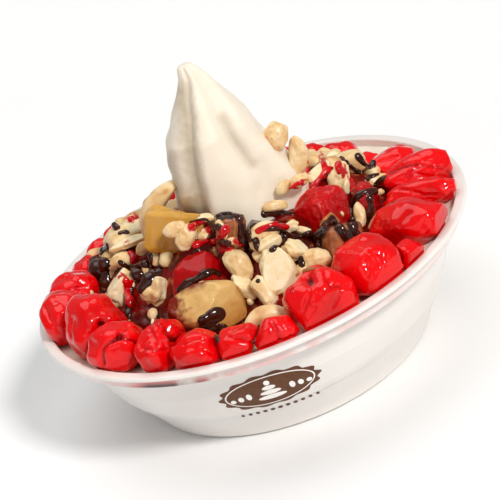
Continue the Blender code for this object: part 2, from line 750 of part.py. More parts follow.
def build_cherries(ring):
    """One object for each cherry."""
    _, faces = ball(CHERRY_SIDES, CHERRY_RINGS)
    finish = material("glazed_cherry", (0.6, 0.01, 0.01), 0.12)
    return [
        mesh_object(f"cherry_{number:02d}", points, faces, finish) for number, points in enumerate(ring, 1)
    ]


def main():
    """Build the whole sundae."""
    remove_scene_objects()
    build_bowl()
    neighbours = [build_soft_serve()]
    ring = cherry_ring()
    neighbours += build_cherries(ring)
    for name, (points, faces, colour) in raised_pieces(ring).items():
        neighbours.append(mesh_object(name, points, faces, material(name + "_finish", colour, 0.25)))
    build_heap(neighbours)


main()
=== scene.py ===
"""Looks of an ice cream sundae: every surface of the soft serve, its bowl and what lies on it.

Lengths are millimetres in the frame's own axes until a mesh is written, and heights "above the rim" start at
the bowl's rim. The bowl stands on z = 0, and the front of the sundae faces -Y.
"""

import logging
import math
from dataclasses import dataclass, field
from enum import Enum
from random import Random

import bmesh
import bpy
import numpy as np
from mathutils import Matrix, Vector, noise
from mathutils.bvhtree import BVHTree


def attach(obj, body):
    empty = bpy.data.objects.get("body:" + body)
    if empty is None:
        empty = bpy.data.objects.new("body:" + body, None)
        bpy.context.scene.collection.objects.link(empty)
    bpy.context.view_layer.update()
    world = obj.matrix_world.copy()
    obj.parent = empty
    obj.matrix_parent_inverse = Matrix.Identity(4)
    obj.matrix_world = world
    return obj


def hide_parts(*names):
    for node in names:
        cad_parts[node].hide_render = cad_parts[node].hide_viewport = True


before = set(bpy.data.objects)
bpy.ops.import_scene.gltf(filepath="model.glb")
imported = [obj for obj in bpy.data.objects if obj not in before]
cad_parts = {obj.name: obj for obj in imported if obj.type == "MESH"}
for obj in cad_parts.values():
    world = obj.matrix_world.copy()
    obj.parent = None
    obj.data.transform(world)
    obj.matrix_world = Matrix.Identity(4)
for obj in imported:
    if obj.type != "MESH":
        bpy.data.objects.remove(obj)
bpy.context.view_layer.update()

LOG = logging.getLogger("sundae")
BODY = "root"
MM = 0.001
RIM_Z = 43.4
RIM_RADIUS = 78.0

Array = np.ndarray
Piece = bpy.types.Object
Socket = bpy.types.NodeSocket
Hit = tuple[Array, Array] | None
Rgb = tuple[int, int, int]
Triple = tuple[float, float, float]
Pair = tuple[float, float]
Route = tuple[Pair, ...]


def linear(colour: Rgb) -> tuple[float, ...]:
    """Turn display values from 0 to 255 into the linear colour that a shader takes.

    Args:
        colour: Red, green and blue.

    Returns:
        The linear colour with an alpha of 1.
    """
    channels = []
    for value in colour:
        share = value / 255.0
        channels.append(share / 12.92 if share <= 0.04045 else ((share + 0.055) / 1.055) ** 2.4)
    return (*channels, 1.0)


def interpolate(rows: tuple | list, value: Array | float, column: int = 1) -> Array | float:
    """Read one column of a table at a value of its first column, which rises."""
    return np.interp(value, [row[0] for row in rows], [row[column] for row in rows])


def angle_between(first: Array | float, second: Array | float) -> Array | float:
    """Smallest signed difference of two azimuths, from -180 to 180 degrees."""
    return (first - second + 180.0) % 360.0 - 180.0


def polar(azimuth: float, radius: float, height: float) -> Array:
    """A point from its azimuth in degrees, its distance from the bowl's axis and its height."""
    turn = math.radians(azimuth)
    return np.array((radius * math.cos(turn), radius * math.sin(turn), height))


def turn_matrix(x: float = 0.0, y: float = 0.0, z: float = 0.0) -> Array:
    """A rotation by degrees about X, then Y, then Z, as a 3 by 3 array."""
    about = [Matrix.Rotation(math.radians(angle), 3, axis) for angle, axis in ((z, "Z"), (y, "Y"), (x, "X"))]
    return np.array(about[0] @ about[1] @ about[2])


def unit(vector: Array) -> Array:
    """The vector scaled to length 1."""
    return vector / max(float(np.linalg.norm(vector)), 1e-9)


def roughness_at(points: Array, scale: float, seed: float = 0.0, octaves: int = 1) -> Array:
    """Smooth noise at many points.

    Args:
        points: The places to read at.
        scale: How fast the noise changes over a unit of length.
        seed: Shifts the noise, so that two pieces differ.
        octaves: How many layers, each half as large and twice as fine as the one before.

    Returns:
        A value from about -1 to 1 for each point.
    """
    shift = Vector((seed, 2.0 * seed, 0.0))
    total = np.zeros(len(points))
    for octave in range(octaves):
        factor = 2.0**octave
        layer = [noise.noise(Vector(point) * scale * factor + shift) for point in points]
        total += np.array(layer) / factor
    return total


# Camera frame


@dataclass(frozen=True)
class ViewFrame:
    """The camera's place, and its frame of 500 by 500 points by which some pieces are placed."""

    aim: Triple = (0.1, -2.04, RIM_Z)
    distance: float = 700.0
    elevation: float = 24.8
    roll: float = 22.0
    focal: float = 2035.0
    size: int = 500

    def axes(self) -> tuple[Array, Array, Array]:
        """The camera's own directions.

        Returns:
            Its right, up and backward directions.
        """
        rise, lean = math.radians(self.elevation), math.radians(self.roll)
        level = np.array((1.0, 0.0, 0.0))
        upright = np.array((0.0, math.sin(rise), math.cos(rise)))
        back = np.array((0.0, -math.cos(rise), math.sin(rise)))
        right = math.cos(lean) * level - math.sin(lean) * upright
        up = math.sin(lean) * level + math.cos(lean) * upright
        return right, up, back

    def place(self) -> Array:
        """Where the camera stands."""
        return np.array(self.aim) + self.axes()[2] * self.distance

    def ray(self, x: float, y: float) -> Array:
        """Direction in which a point of the frame looks.

        Args:
            x: Points from the frame's left.
            y: Points from the frame's top.

        Returns:
            A vector of length 1.
        """
        right, up, back = self.axes()
        half = self.size / 2.0
        return unit(-back + (x - half) / self.focal * right - (y - half) / self.focal * up)

    def marks(self, points: Array) -> Array:
        """Where places show in the frame.

        Args:
            points: The places.

        Returns:
            Points from the frame's left and top for each place.
        """
        right, up, back = self.axes()
        away = points - self.place()
        depth = -(away @ back)
        half = self.size / 2.0
        across, upward = away @ right, away @ up
        return np.column_stack([half + self.focal * across / depth, half - self.focal * upward / depth])

    def on_plane(self, x: float, y: float, centre: Array, normal: Array) -> Array:
        """The place on a plane, given by one of its places and its direction, that shows at a point."""
        start, along = self.place(), self.ray(x, y)
        return start + along * (np.dot(centre - start, normal) / np.dot(along, normal))

    def span(self, point: Array, points: float) -> float:
        """The length in millimetres that a number of frame points covers at a place."""
        depth = float(np.dot(self.place() - point, self.axes()[2]))
        return points * depth / self.focal


VIEW = ViewFrame()


def route_distance(marks: Array, route: tuple) -> Array:
    """Distance of places in the frame from a route of straight runs.

    Args:
        marks: The places.
        route: The route's points.

    Returns:
        The distance of each place.
    """
    knots = np.array(route, float)
    nearest = np.linalg.norm(marks - knots[0], axis=1)
    for start, end in zip(knots, knots[1:]):
        along = end - start
        share = np.clip((marks - start) @ along / np.dot(along, along), 0.0, 1.0)
        nearest = np.minimum(nearest, np.linalg.norm(marks - start - share[:, None] * along, axis=1))
    return nearest


# Meshes


@dataclass
class Shape:
    """Points in millimetres, the faces that join them, and values that the materials read."""

    points: Array
    faces: list
    values: dict[str, Array] = field(default_factory=dict)

    def placed(self, rotation: Array, centre: Array) -> "Shape":
        """The shape turned by a 3 by 3 rotation, and moved so that its origin lies at the centre."""
        return Shape(self.points @ rotation.T + np.asarray(centre), self.faces, dict(self.values))

    def given(self, name: str, value: Array | float) -> "Shape":
        """The same shape with one more value, given as one number or as one for each point."""
        self.values[name] = np.broadcast_to(np.asarray(value, float), len(self.points)).copy()
        return self

    def normals(self) -> Array:
        """The surface's direction at each point.

        Returns:
            The mean direction of the faces round it.
        """
        total = np.zeros_like(self.points)
        for size in (3, 4):
            rows = np.array([face for face in self.faces if len(face) == size])
            if len(rows) == 0:
                continue
            corners = self.points[rows]
            across = np.cross(corners[:, 2] - corners[:, 0], corners[:, -1] - corners[:, 1])
            if size == 3:
                across = np.cross(corners[:, 1] - corners[:, 0], corners[:, 2] - corners[:, 0])
            for column in range(size):
                np.add.at(total, rows[:, column], across)
        return total / np.maximum(np.linalg.norm(total, axis=1), 1e-9)[:, None]

    def mesh_object(self, name: str, finish: bpy.types.Material) -> Piece:
        """Write the shape as a smooth object in the scene.

        Args:
            name: The object's name.
            finish: Its material.

        Returns:
            The new object.
        """
        mesh = bpy.data.meshes.new(name)
        mesh.from_pydata((self.points * MM).tolist(), [], self.faces)
        mesh.shade_smooth()
        for label, value in self.values.items():
            layer = mesh.attributes.new(label, "FLOAT", "POINT")
            layer.data.foreach_set("value", value.astype(np.float32))
        mesh.materials.append(finish)
        made = bpy.data.objects.new(name, mesh)
        bpy.context.scene.collection.objects.link(made)
        return made


def joined(shapes: list[Shape]) -> Shape:
    """Put several shapes in one.

    Args:
        shapes: The shapes, all with the same values.

    Returns:
        One shape with all their points and faces.
    """
    faces: list = []
    start = 0
    for shape in shapes:
        faces.extend([tuple(start + index for index in face) for face in shape.faces])
        start += len(shape.points)
    values = {label: np.concatenate([shape.values[label] for shape in shapes]) for label in shapes[0].values}
    return Shape(np.vstack([shape.points for shape in shapes]), faces, values)


def round_ball(divisions: int) -> Shape:
    """A ball of radius 1 made of even triangles.

    Args:
        divisions: How often its faces are split.

    Returns:
        The ball.
    """
    ball = bmesh.new()
    bmesh.ops.create_icosphere(ball, subdivisions=divisions, radius=1.0)
    points = np.array([tuple(vertex.co) for vertex in ball.verts])
    faces = [tuple(vertex.index for vertex in face.verts) for face in ball.faces]
    ball.free()
    return Shape(points, faces)


def lofted(rings: list[Array], closed_ends: bool = True) -> Shape:
    """Join rings of equally many points, from the lowest up, counter-clockwise seen from above.

    Args:
        rings: The rings, of which a first or last one may be a single point.
        closed_ends: Whether single points at the ends are joined to their neighbours.

    Returns:
        The surface.
    """
    sides = max(len(ring) for ring in rings)
    starts = np.cumsum([0] + [len(ring) for ring in rings])
    faces = []
    for row in range(len(rings) - 1):
        low, high = int(starts[row]), int(starts[row + 1])
        for side in range(sides):
            following = (side + 1) % sides
            if len(rings[row]) == 1:
                faces.append((low, high + following, high + side)[::-1])
            elif len(rings[row + 1]) == 1:
                faces.append((low + side, low + following, high))
            else:
                faces.append((low + side, low + following, high + following, high + side))
    if not closed_ends:
        faces = [face for face in faces if len(face) == 4]
    return Shape(np.vstack(rings), faces)


def refined(source: Shape, name: str, voxel: float, smoothing: int) -> Shape:
    """Remesh a closed shape evenly and smooth it.

    Args:
        source: The shape, whose parts may overlap.
        name: A name for the working object.
        voxel: Size of the new faces.
        smoothing: How often the points are moved to the middle of their neighbours.

    Returns:
        The new shape, without the old values.
    """
    mesh = bpy.data.meshes.new(name + "_rough")
    mesh.from_pydata((source.points * MM).tolist(), [], source.faces)
    rough = bpy.data.objects.new(name + "_rough", mesh)
    bpy.context.scene.collection.objects.link(rough)
    remesh = rough.modifiers.new("even", "REMESH")
    remesh.mode = "VOXEL"
    remesh.voxel_size = voxel * MM
    if smoothing:
        relax = rough.modifiers.new("relax", "SMOOTH")
        relax.factor = 0.5
        relax.iterations = smoothing
    graph = bpy.context.evaluated_depsgraph_get()
    fine = bpy.data.meshes.new_from_object(rough.evaluated_get(graph))
    points = np.empty(len(fine.vertices) * 3, np.float32)
    fine.vertices.foreach_get("co", points)
    faces = [tuple(polygon.vertices) for polygon in fine.polygons]
    bpy.data.objects.remove(rough, do_unlink=True)
    bpy.data.meshes.remove(mesh)
    bpy.data.meshes.remove(fine)
    return Shape(points.reshape(-1, 3).astype(float) / MM, faces)


def solid_of(node: str) -> Shape:
    """The points and faces of a solid of the frame.

    Args:
        node: The solid's name.

    Returns:
        Its shape in millimetres.
    """
    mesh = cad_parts[node].data
    points = np.array([tuple(vertex.co) for vertex in mesh.vertices]) / MM
    return Shape(points, [tuple(polygon.vertices) for polygon in mesh.polygons])


class Ground:
    """Everything laid so far, on which the next pieces land."""

    def __init__(self) -> None:
        """Start with nothing laid."""
        self.shapes: list[Shape] = []
        self.tree: BVHTree | None = None

    def lay(self, shape: Shape) -> None:
        """Add a shape to what later pieces land on."""
        self.shapes.append(Shape(shape.points, list(shape.faces)))
        self.tree = None

    def hit(self, start: Array, along: Array) -> Hit:
        """Follow a ray to the first surface.

        Args:
            start: Where the ray starts.
            along: Its direction.

        Returns:
            The place and the surface's outward direction, or None where nothing is met.
        """
        if self.tree is None:
            whole = joined(self.shapes)
            self.tree = BVHTree.FromPolygons(whole.points.tolist(), whole.faces)
        place, normal, _, _ = self.tree.ray_cast(Vector(start), Vector(along))
        if place is None:
            return None
        normal = np.array(normal)
        return np.array(place), normal if np.dot(normal, along) < 0 else -normal

    def seen(self, x: float, y: float) -> Hit:
        """The surface that shows at a point of the camera's frame."""
        return self.hit(VIEW.place(), VIEW.ray(x, y))

    def under(self, x: float, y: float) -> Hit:
        """The highest surface at a place in plan."""
        return self.hit(np.array((x, y, 200.0)), np.array((0.0, 0.0, -1.0)))


# Finishes


class Shading:
    """A material while it is put together: its nodes and its Principled shader."""

    def __init__(self, finish: "Finish", **inputs: float | tuple) -> None:
        """Make the material and set the values that are the same all over.

        Args:
            finish: The finish, which names the material.
            **inputs: Values of the shader's sockets, with underscores for spaces.
        """
        self.material = bpy.data.materials.new(finish.label())
        self.material.use_nodes = True
        self.nodes = self.material.node_tree.nodes
        self.links = self.material.node_tree.links
        self.shader = self.nodes["Principled BSDF"]
        for label, value in inputs.items():
            self.shader.inputs[label.replace("_", " ")].default_value = value
        self.place = self.nodes.new("ShaderNodeTexCoord").outputs["Object"]

    def node(self, kind: str, source: Socket, entry: str | int, **inputs: float | tuple) -> bpy.types.Node:
        """Add a node that reads one socket.

        Args:
            kind: The node's type, without the ShaderNode before it.
            source: The socket that it reads.
            entry: The input that takes the socket.
            **inputs: Values of other inputs, with underscores for spaces.

        Returns:
            The new node.
        """
        made = self.nodes.new("ShaderNode" + kind)
        for label, value in inputs.items():
            made.inputs[label.replace("_", " ")].default_value = value
        self.links.new(source, made.inputs[entry])
        return made

    def stretched(self, *scale: float) -> Socket:
        """Coordinates scaled by different amounts along X, Y and Z."""
        return self.node("Mapping", self.place, "Vector", Scale=scale).outputs["Vector"]

    def grain(self, scale: float, detail: float = 3.0, where: Socket | None = None,
              distortion: float = 0.0) -> Socket:
        """Noise over the surface.

        Args:
            scale: Changes in a metre.
            detail: How many finer layers.
            where: Coordinates other than the object's own.
            distortion: How much the noise swirls.

        Returns:
            The socket with values from 0 to 1.
        """
        texture = self.node("TexNoise", where or self.place, "Vector", Scale=scale, Detail=detail,
                            Distortion=distortion)
        return texture.outputs["Fac"]

    def value(self, name: str) -> Socket:
        """A value that the mesh holds for each point.

        Args:
            name: The value's name.

        Returns:
            The value.
        """
        reader = self.nodes.new("ShaderNodeAttribute")
        reader.attribute_name = name
        return reader.outputs["Fac"]

    def ramp(self, source: Socket, *stops: tuple[float, Rgb]) -> Socket:
        """Colours along a value.

        Args:
            source: The value.
            *stops: Places from 0 to 1, each with its colour.

        Returns:
            The colour socket.
        """
        ramp = self.node("ValToRGB", source, "Fac")
        elements = ramp.color_ramp.elements
        while len(elements) < len(stops):
            elements.new(0.5)
        for element, (position, colour) in zip(elements, stops):
            element.position = position
            element.color = linear(colour)
        return ramp.outputs["Color"]

    def steps(self, source: Socket, low: float, high: float) -> Socket:
        """Rise from 0 to 1 between two values.

        Args:
            source: The socket that rises.
            low: Its value up to which the result is 0.
            high: Its value from which the result is 1.

        Returns:
            The result.
        """
        mapping = self.node("MapRange", source, "Value", From_Min=low, From_Max=high)
        mapping.interpolation_type = "SMOOTHSTEP"
        return mapping.outputs["Result"]

    def mix(self, share: Socket, first: Socket | Rgb, second: Socket | Rgb) -> Socket:
        """Mix two colours, each a socket or display values.

        Args:
            share: The share of the second colour.
            first: The colour at 0.
            second: The colour at 1.

        Returns:
            The mixed colour.
        """
        mixer = self.node("Mix", share, 0)
        mixer.data_type = "RGBA"
        for socket, colour in ((mixer.inputs[6], first), (mixer.inputs[7], second)):
            if isinstance(colour, Socket):
                self.links.new(colour, socket)
            else:
                socket.default_value = linear(colour)
        return mixer.outputs[2]

    def maths(self, operation: str, first: Socket | float, second: Socket | float) -> Socket:
        """Combine two values, each a socket or a number.

        Args:
            operation: The Math node's operation.
            first: The first value.
            second: The second value.

        Returns:
            The result.
        """
        node = self.nodes.new("ShaderNodeMath")
        node.operation = operation
        for socket, number in zip(node.inputs, (first, second)):
            if isinstance(number, Socket):
                self.links.new(number, socket)
            else:
                socket.default_value = number
        return node.outputs[0]

    def axis(self, name: str) -> Socket:
        """One coordinate of the surface in metres."""
        return self.node("SeparateXYZ", self.place, 0).outputs[name]

    def colour(self, source: Socket) -> None:
        """Set the base colour."""
        self.links.new(source, self.shader.inputs["Base Color"])

    def rough(self, source: Socket, smooth: float, coarse: float) -> None:
        """Let the roughness follow a value from 0, where it is smooth, to 1, where it is coarse."""
        mapping = self.node("MapRange", source, "Value", To_Min=smooth, To_Max=coarse)
        self.links.new(mapping.outputs["Result"], self.shader.inputs["Roughness"])

    def relief(self, source: Socket, depth: float, strength: float = 1.0) -> None:
        """Add fine relief over any that is there.

        Args:
            source: The height from 0 to 1.
            depth: The greatest height in millimetres.
            strength: The share of the relief that shows.
        """
        bump = self.node("Bump", source, "Height", Distance=depth * MM, Strength=strength)
        normal = self.shader.inputs["Normal"]
        if normal.is_linked:
            self.links.new(normal.links[0].from_socket, bump.inputs["Normal"])
        self.links.new(bump.outputs["Normal"], normal)


@dataclass(frozen=True)
class Finish:
    """A finish, which makes its material once."""

    slot: str

    def material(self) -> bpy.types.Material:
        """The finish's material, made on first use."""
        return bpy.data.materials.get(self.label()) or self.shading().material

    def label(self) -> str:
        """A name for the material, which no other finish has."""
        return type(self).__name__ + "_" + self.slot

    def shading(self) -> Shading:
        """Put the material together; each finish has its own way."""
        raise NotImplementedError(self.slot)


def laid(shape: Shape, name: str, finish: Finish, node: str, ground: Ground) -> Piece:
    """Make a piece that stands for a solid, and let later pieces land on it.

    Args:
        shape: The piece's shape.
        name: The object's name.
        finish: Its finish.
        node: The solid.
        ground: What later pieces land on.

    Returns:
        The object.
    """
    ground.lay(shape)
    piece = shape.mesh_object(name, finish.material())
    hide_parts(node)
    return piece


@dataclass(frozen=True)
class Plastic(Finish):
    """Thin milky plastic that takes on a little of the colour behind it."""

    slot: str = "translucent_plastic"

    def shading(self) -> Shading:
        """Warm white, red where syrup lies behind it, darkest on the collar's front left, partly painted
        shadow, with a faint flow pattern.
        """
        made = Shading(self, Roughness=0.3, Subsurface_Weight=0.3, Subsurface_Radius=(1.0, 0.85, 0.75),
                       Subsurface_Scale=0.003, Specular_IOR_Level=0.4, Coat_Weight=0.2, Coat_Roughness=0.12)
        flow = made.grain(14.0, 4.0, made.stretched(1.0, 1.0, 3.0), 0.8)
        white = made.ramp(flow, (0.25, (236, 228, 222)), (0.6, (243, 236, 229)), (0.9, (248, 242, 233)))
        stain = made.value("stain")
        patches = made.steps(made.grain(110.0), 0.25, 0.55)
        share = made.maths("MULTIPLY", stain, patches)
        # The ramp's dark end, which the collar reaches at its front left, is partly painted shadow and
        # partly dark syrup behind it.
        tint = made.ramp(stain, (0.3, (236, 172, 176)), (0.7, (205, 16, 22)), (0.9, (60, 10, 22)))
        made.colour(made.mix(share, white, tint))
        made.relief(made.grain(180.0, 2.0), 0.05, 0.25)
        return made


@dataclass(frozen=True)
class Cream(Finish):
    """Soft ice cream."""

    slot: str = "soft_serve_cream"

    def shading(self) -> Shading:
        """Warm white with light inside it, a warmer tan low on the swirl's left front, painted shade along
        the valleys of its front, and syrup where it has run.
        """
        made = Shading(self, Roughness=0.42, Subsurface_Weight=0.4, Subsurface_Radius=(1.0, 0.78, 0.55),
                       Subsurface_Scale=0.0025, Specular_IOR_Level=0.3)
        drift = made.grain(30.0, 4.0)
        white = made.ramp(drift, (0.3, (240, 228, 208)), (0.7, (246, 236, 218)))
        warm = made.mix(made.value("warmth"), white, (214, 184, 138))
        # Painted shade: grey-tan along the swirl's valleys, where the mesh's shade value is high.
        shaded = made.mix(made.value("shade"), warm, (184, 168, 140))
        made.colour(made.mix(made.value("stain"), shaded, (120, 4, 6)))
        made.rough(made.grain(160.0), 0.36, 0.52)
        made.relief(made.grain(420.0, 4.0), 0.12, 0.35)
        made.relief(made.grain(60.0, 2.0), 0.3, 0.25)
        return made


@dataclass(frozen=True)
class GlazedCherry(Finish):
    """Soft red cherry under clear syrup."""

    slot: str = "glazed_cherry"

    def shading(self) -> Shading:
        """Deep to bright red, with a wet, wrinkled skin and painted shade where creases moved it."""
        made = Shading(self, Subsurface_Weight=0.12, Subsurface_Radius=(1.0, 0.08, 0.05),
                       Subsurface_Scale=0.003, Specular_IOR_Level=0.06, Coat_Weight=0.85,
                       Coat_Roughness=0.045, Coat_IOR=1.42)
        drift = made.grain(70.0, 4.0, distortion=0.6)
        red = made.ramp(drift, (0.25, (196, 0, 2)), (0.5, (230, 0, 5)), (0.8, (246, 8, 14)))
        # Painted shade: darker red where the fold value, how far a crease moved the skin, is high.
        made.colour(made.mix(made.steps(made.value("fold"), 0.15, 0.9), red, (120, 0, 3)))
        made.rough(made.grain(240.0), 0.2, 0.4)
        made.relief(made.grain(130.0, 3.0, made.stretched(1.0, 1.0, 0.45), 1.4), 1.0, 0.75)
        made.relief(made.grain(420.0), 0.16, 0.5)
        return made


@dataclass(frozen=True)
class SoakedCore(Finish):
    """The mass of chopped nuts, syrup and chocolate under the pieces."""

    slot: str = "nuts_in_sauce"

    def shading(self) -> Shading:
        """Dark red syrup with chocolate and a few amber bits."""
        made = Shading(self, Specular_IOR_Level=0.12, Coat_Weight=0.18, Coat_Roughness=0.06)
        drift = made.grain(60.0, 4.0, distortion=0.8)
        dark = made.ramp(drift, (0.3, (44, 10, 2)), (0.46, (106, 6, 0)), (0.62, (150, 2, 0)),
                         (0.8, (84, 22, 4)))
        bits = made.steps(made.grain(240.0, 2.0), 0.62, 0.68)
        made.colour(made.mix(bits, dark, (160, 84, 34)))
        made.rough(made.grain(200.0), 0.14, 0.4)
        made.relief(made.grain(170.0, 4.0), 1.2, 0.7)
        made.relief(made.grain(600.0), 0.25, 0.5)
        return made


@dataclass(frozen=True)
class RoastedNut(Finish):
    """Chopped roasted nuts, a little syrupy."""

    slot: str = "roasted_nut"

    def shading(self) -> Shading:
        """Cream-coloured cut faces, tan skins, and syrup stains."""
        made = Shading(self, Subsurface_Weight=0.12, Subsurface_Radius=(1.0, 0.6, 0.3),
                       Subsurface_Scale=0.0015, Specular_IOR_Level=0.35, Coat_Weight=0.2, Coat_Roughness=0.2)
        drift = made.grain(190.0, 4.0, distortion=0.5)
        skin = made.ramp(drift, (0.25, (204, 148, 86)), (0.46, (236, 200, 142)), (0.75, (248, 227, 184)))
        flesh = made.ramp(made.grain(300.0), (0.3, (242, 219, 166)), (0.7, (252, 238, 202)))
        nut = made.mix(made.value("cut"), skin, flesh)
        specks = made.steps(made.grain(700.0, 2.0), 0.66, 0.74)
        nut = made.mix(made.maths("MULTIPLY", specks, 0.5), nut, (170, 112, 62))
        patches = made.steps(made.grain(420.0), 0.4, 0.52)
        made.colour(made.mix(made.maths("MULTIPLY", made.value("stain"), patches), nut, (190, 16, 18)))
        made.rough(made.grain(320.0), 0.34, 0.6)
        made.relief(made.grain(420.0, 4.0), 0.3, 0.5)
        return made


@dataclass(frozen=True)
class Sauce(Finish):
    """Thick glossy sauce."""

    slot: str = "chocolate_sauce"
    thin: Rgb = (74, 26, 9)
    thick: Rgb = (42, 12, 4)

    def label(self) -> str:
        """One name for each colour."""
        return "sauce_%02x%02x%02x" % self.thin

    def shading(self) -> Shading:
        """Smooth and wet, a little lighter where it drifts."""
        made = Shading(self, Specular_IOR_Level=0.25, Coat_Weight=0.4, Coat_Roughness=0.04)
        drift = made.grain(160.0)
        made.colour(made.ramp(drift, (0.35, self.thick), (0.75, self.thin)))
        made.rough(made.grain(260.0, 2.0), 0.1, 0.24)
        made.relief(made.grain(240.0, 2.0), 0.2, 0.4)
        return made


@dataclass(frozen=True)
class RedSyrup(Sauce):
    """Clear red syrup."""

    slot: str = "syrup_fruit"
    thin: Rgb = (226, 0, 14)
    thick: Rgb = (176, 0, 8)


@dataclass(frozen=True)
class FruitFlesh(Finish):
    """Cut fruit whose colour drifts from its lit top to its underside: painted light on top, painted shade
    below.
    """

    slot: str = "pineapple_flesh"
    # Painted shade at the underside, rising to painted light at the top, between the heights bottom and top
    # in metres.
    low: Rgb = (172, 100, 20)
    middle: Rgb = (202, 146, 48)
    high: Rgb = (214, 164, 78)
    bottom: float = 0.056
    top: float = 0.072
    fibres: Triple = (1.0, 1.0, 0.3)
    depth: float = 0.35
    gloss: float = 0.5
    stained: Rgb = (96, 6, 6)

    def shading(self) -> Shading:
        """Translucent flesh with fibres, wet with syrup, painted lighter with height; stains follow the
        mesh's own value.
        """
        made = Shading(self, Subsurface_Weight=0.15, Subsurface_Radius=(1.0, 0.4, 0.15),
                       Subsurface_Scale=0.002, Specular_IOR_Level=0.12, Coat_Weight=self.gloss,
                       Coat_Roughness=0.08)
        # Painted light and shade: the colour follows the object's height.
        rise = made.steps(made.axis("Z"), self.bottom, self.top)
        fibre = made.grain(260.0, 4.0, made.stretched(*self.fibres), 0.7)
        place = made.maths("ADD", made.maths("MULTIPLY", rise, 0.7), made.maths("MULTIPLY", fibre, 0.4))
        flesh = made.ramp(place, (0.15, self.low), (0.55, self.middle), (0.95, self.high))
        made.colour(made.mix(made.value("stain"), flesh, self.stained))
        made.rough(made.grain(260.0), 0.2, 0.42)
        made.relief(fibre, self.depth, 0.6)
        made.relief(made.grain(110.0, 2.0), 0.5, 0.35)
        return made


@dataclass(frozen=True)
class Brownie(Finish):
    """Baked chocolate crumb."""

    slot: str = "brownie_crumb"

    def shading(self) -> Shading:
        """Brown crumb with painted shade in its hollows and shiny spots of sauce."""
        made = Shading(self, Specular_IOR_Level=0.35, Coat_Weight=0.25, Coat_Roughness=0.2)
        crumb = made.grain(330.0, 5.0)
        # Painted shade: the noise that sets the relief also darkens the crumb where it is low.
        cake = made.ramp(crumb, (0.3, (92, 42, 22)), (0.5, (152, 82, 44)), (0.75, (188, 114, 66)))
        made.colour(made.mix(made.value("stain"), cake, (38, 13, 8)))
        made.rough(crumb, 0.3, 0.7)
        made.relief(crumb, 0.7, 0.7)
        return made


@dataclass(frozen=True)
class Ink(Finish):
    """Matt ink printed on the plastic."""

    slot: str = "translucent_plastic"
    shade: Rgb = (94, 54, 28)

    def label(self) -> str:
        """One name for each colour."""
        return "ink_%02x%02x%02x" % self.shade

    def shading(self) -> Shading:
        """The ink's colour with a hardly visible grain."""
        made = Shading(self, Roughness=0.4, Specular_IOR_Level=0.3)
        pale = tuple(min(channel + 8, 255) for channel in self.shade)
        made.colour(made.ramp(made.grain(500.0, 2.0), (0.3, self.shade), (0.7, pale)))
        return made


@dataclass(frozen=True)
class Floor(Finish):
    """The studio's pale floor."""

    slot: str = "floor"

    def shading(self) -> Shading:
        """Nearly white and quite matt."""
        made = Shading(self, Roughness=0.9, Specular_IOR_Level=0.1)
        made.colour(made.ramp(made.grain(3.0, 2.0), (0.3, (250, 250, 250)), (0.7, (252, 252, 252))))
        return made


# Sub-assemblies


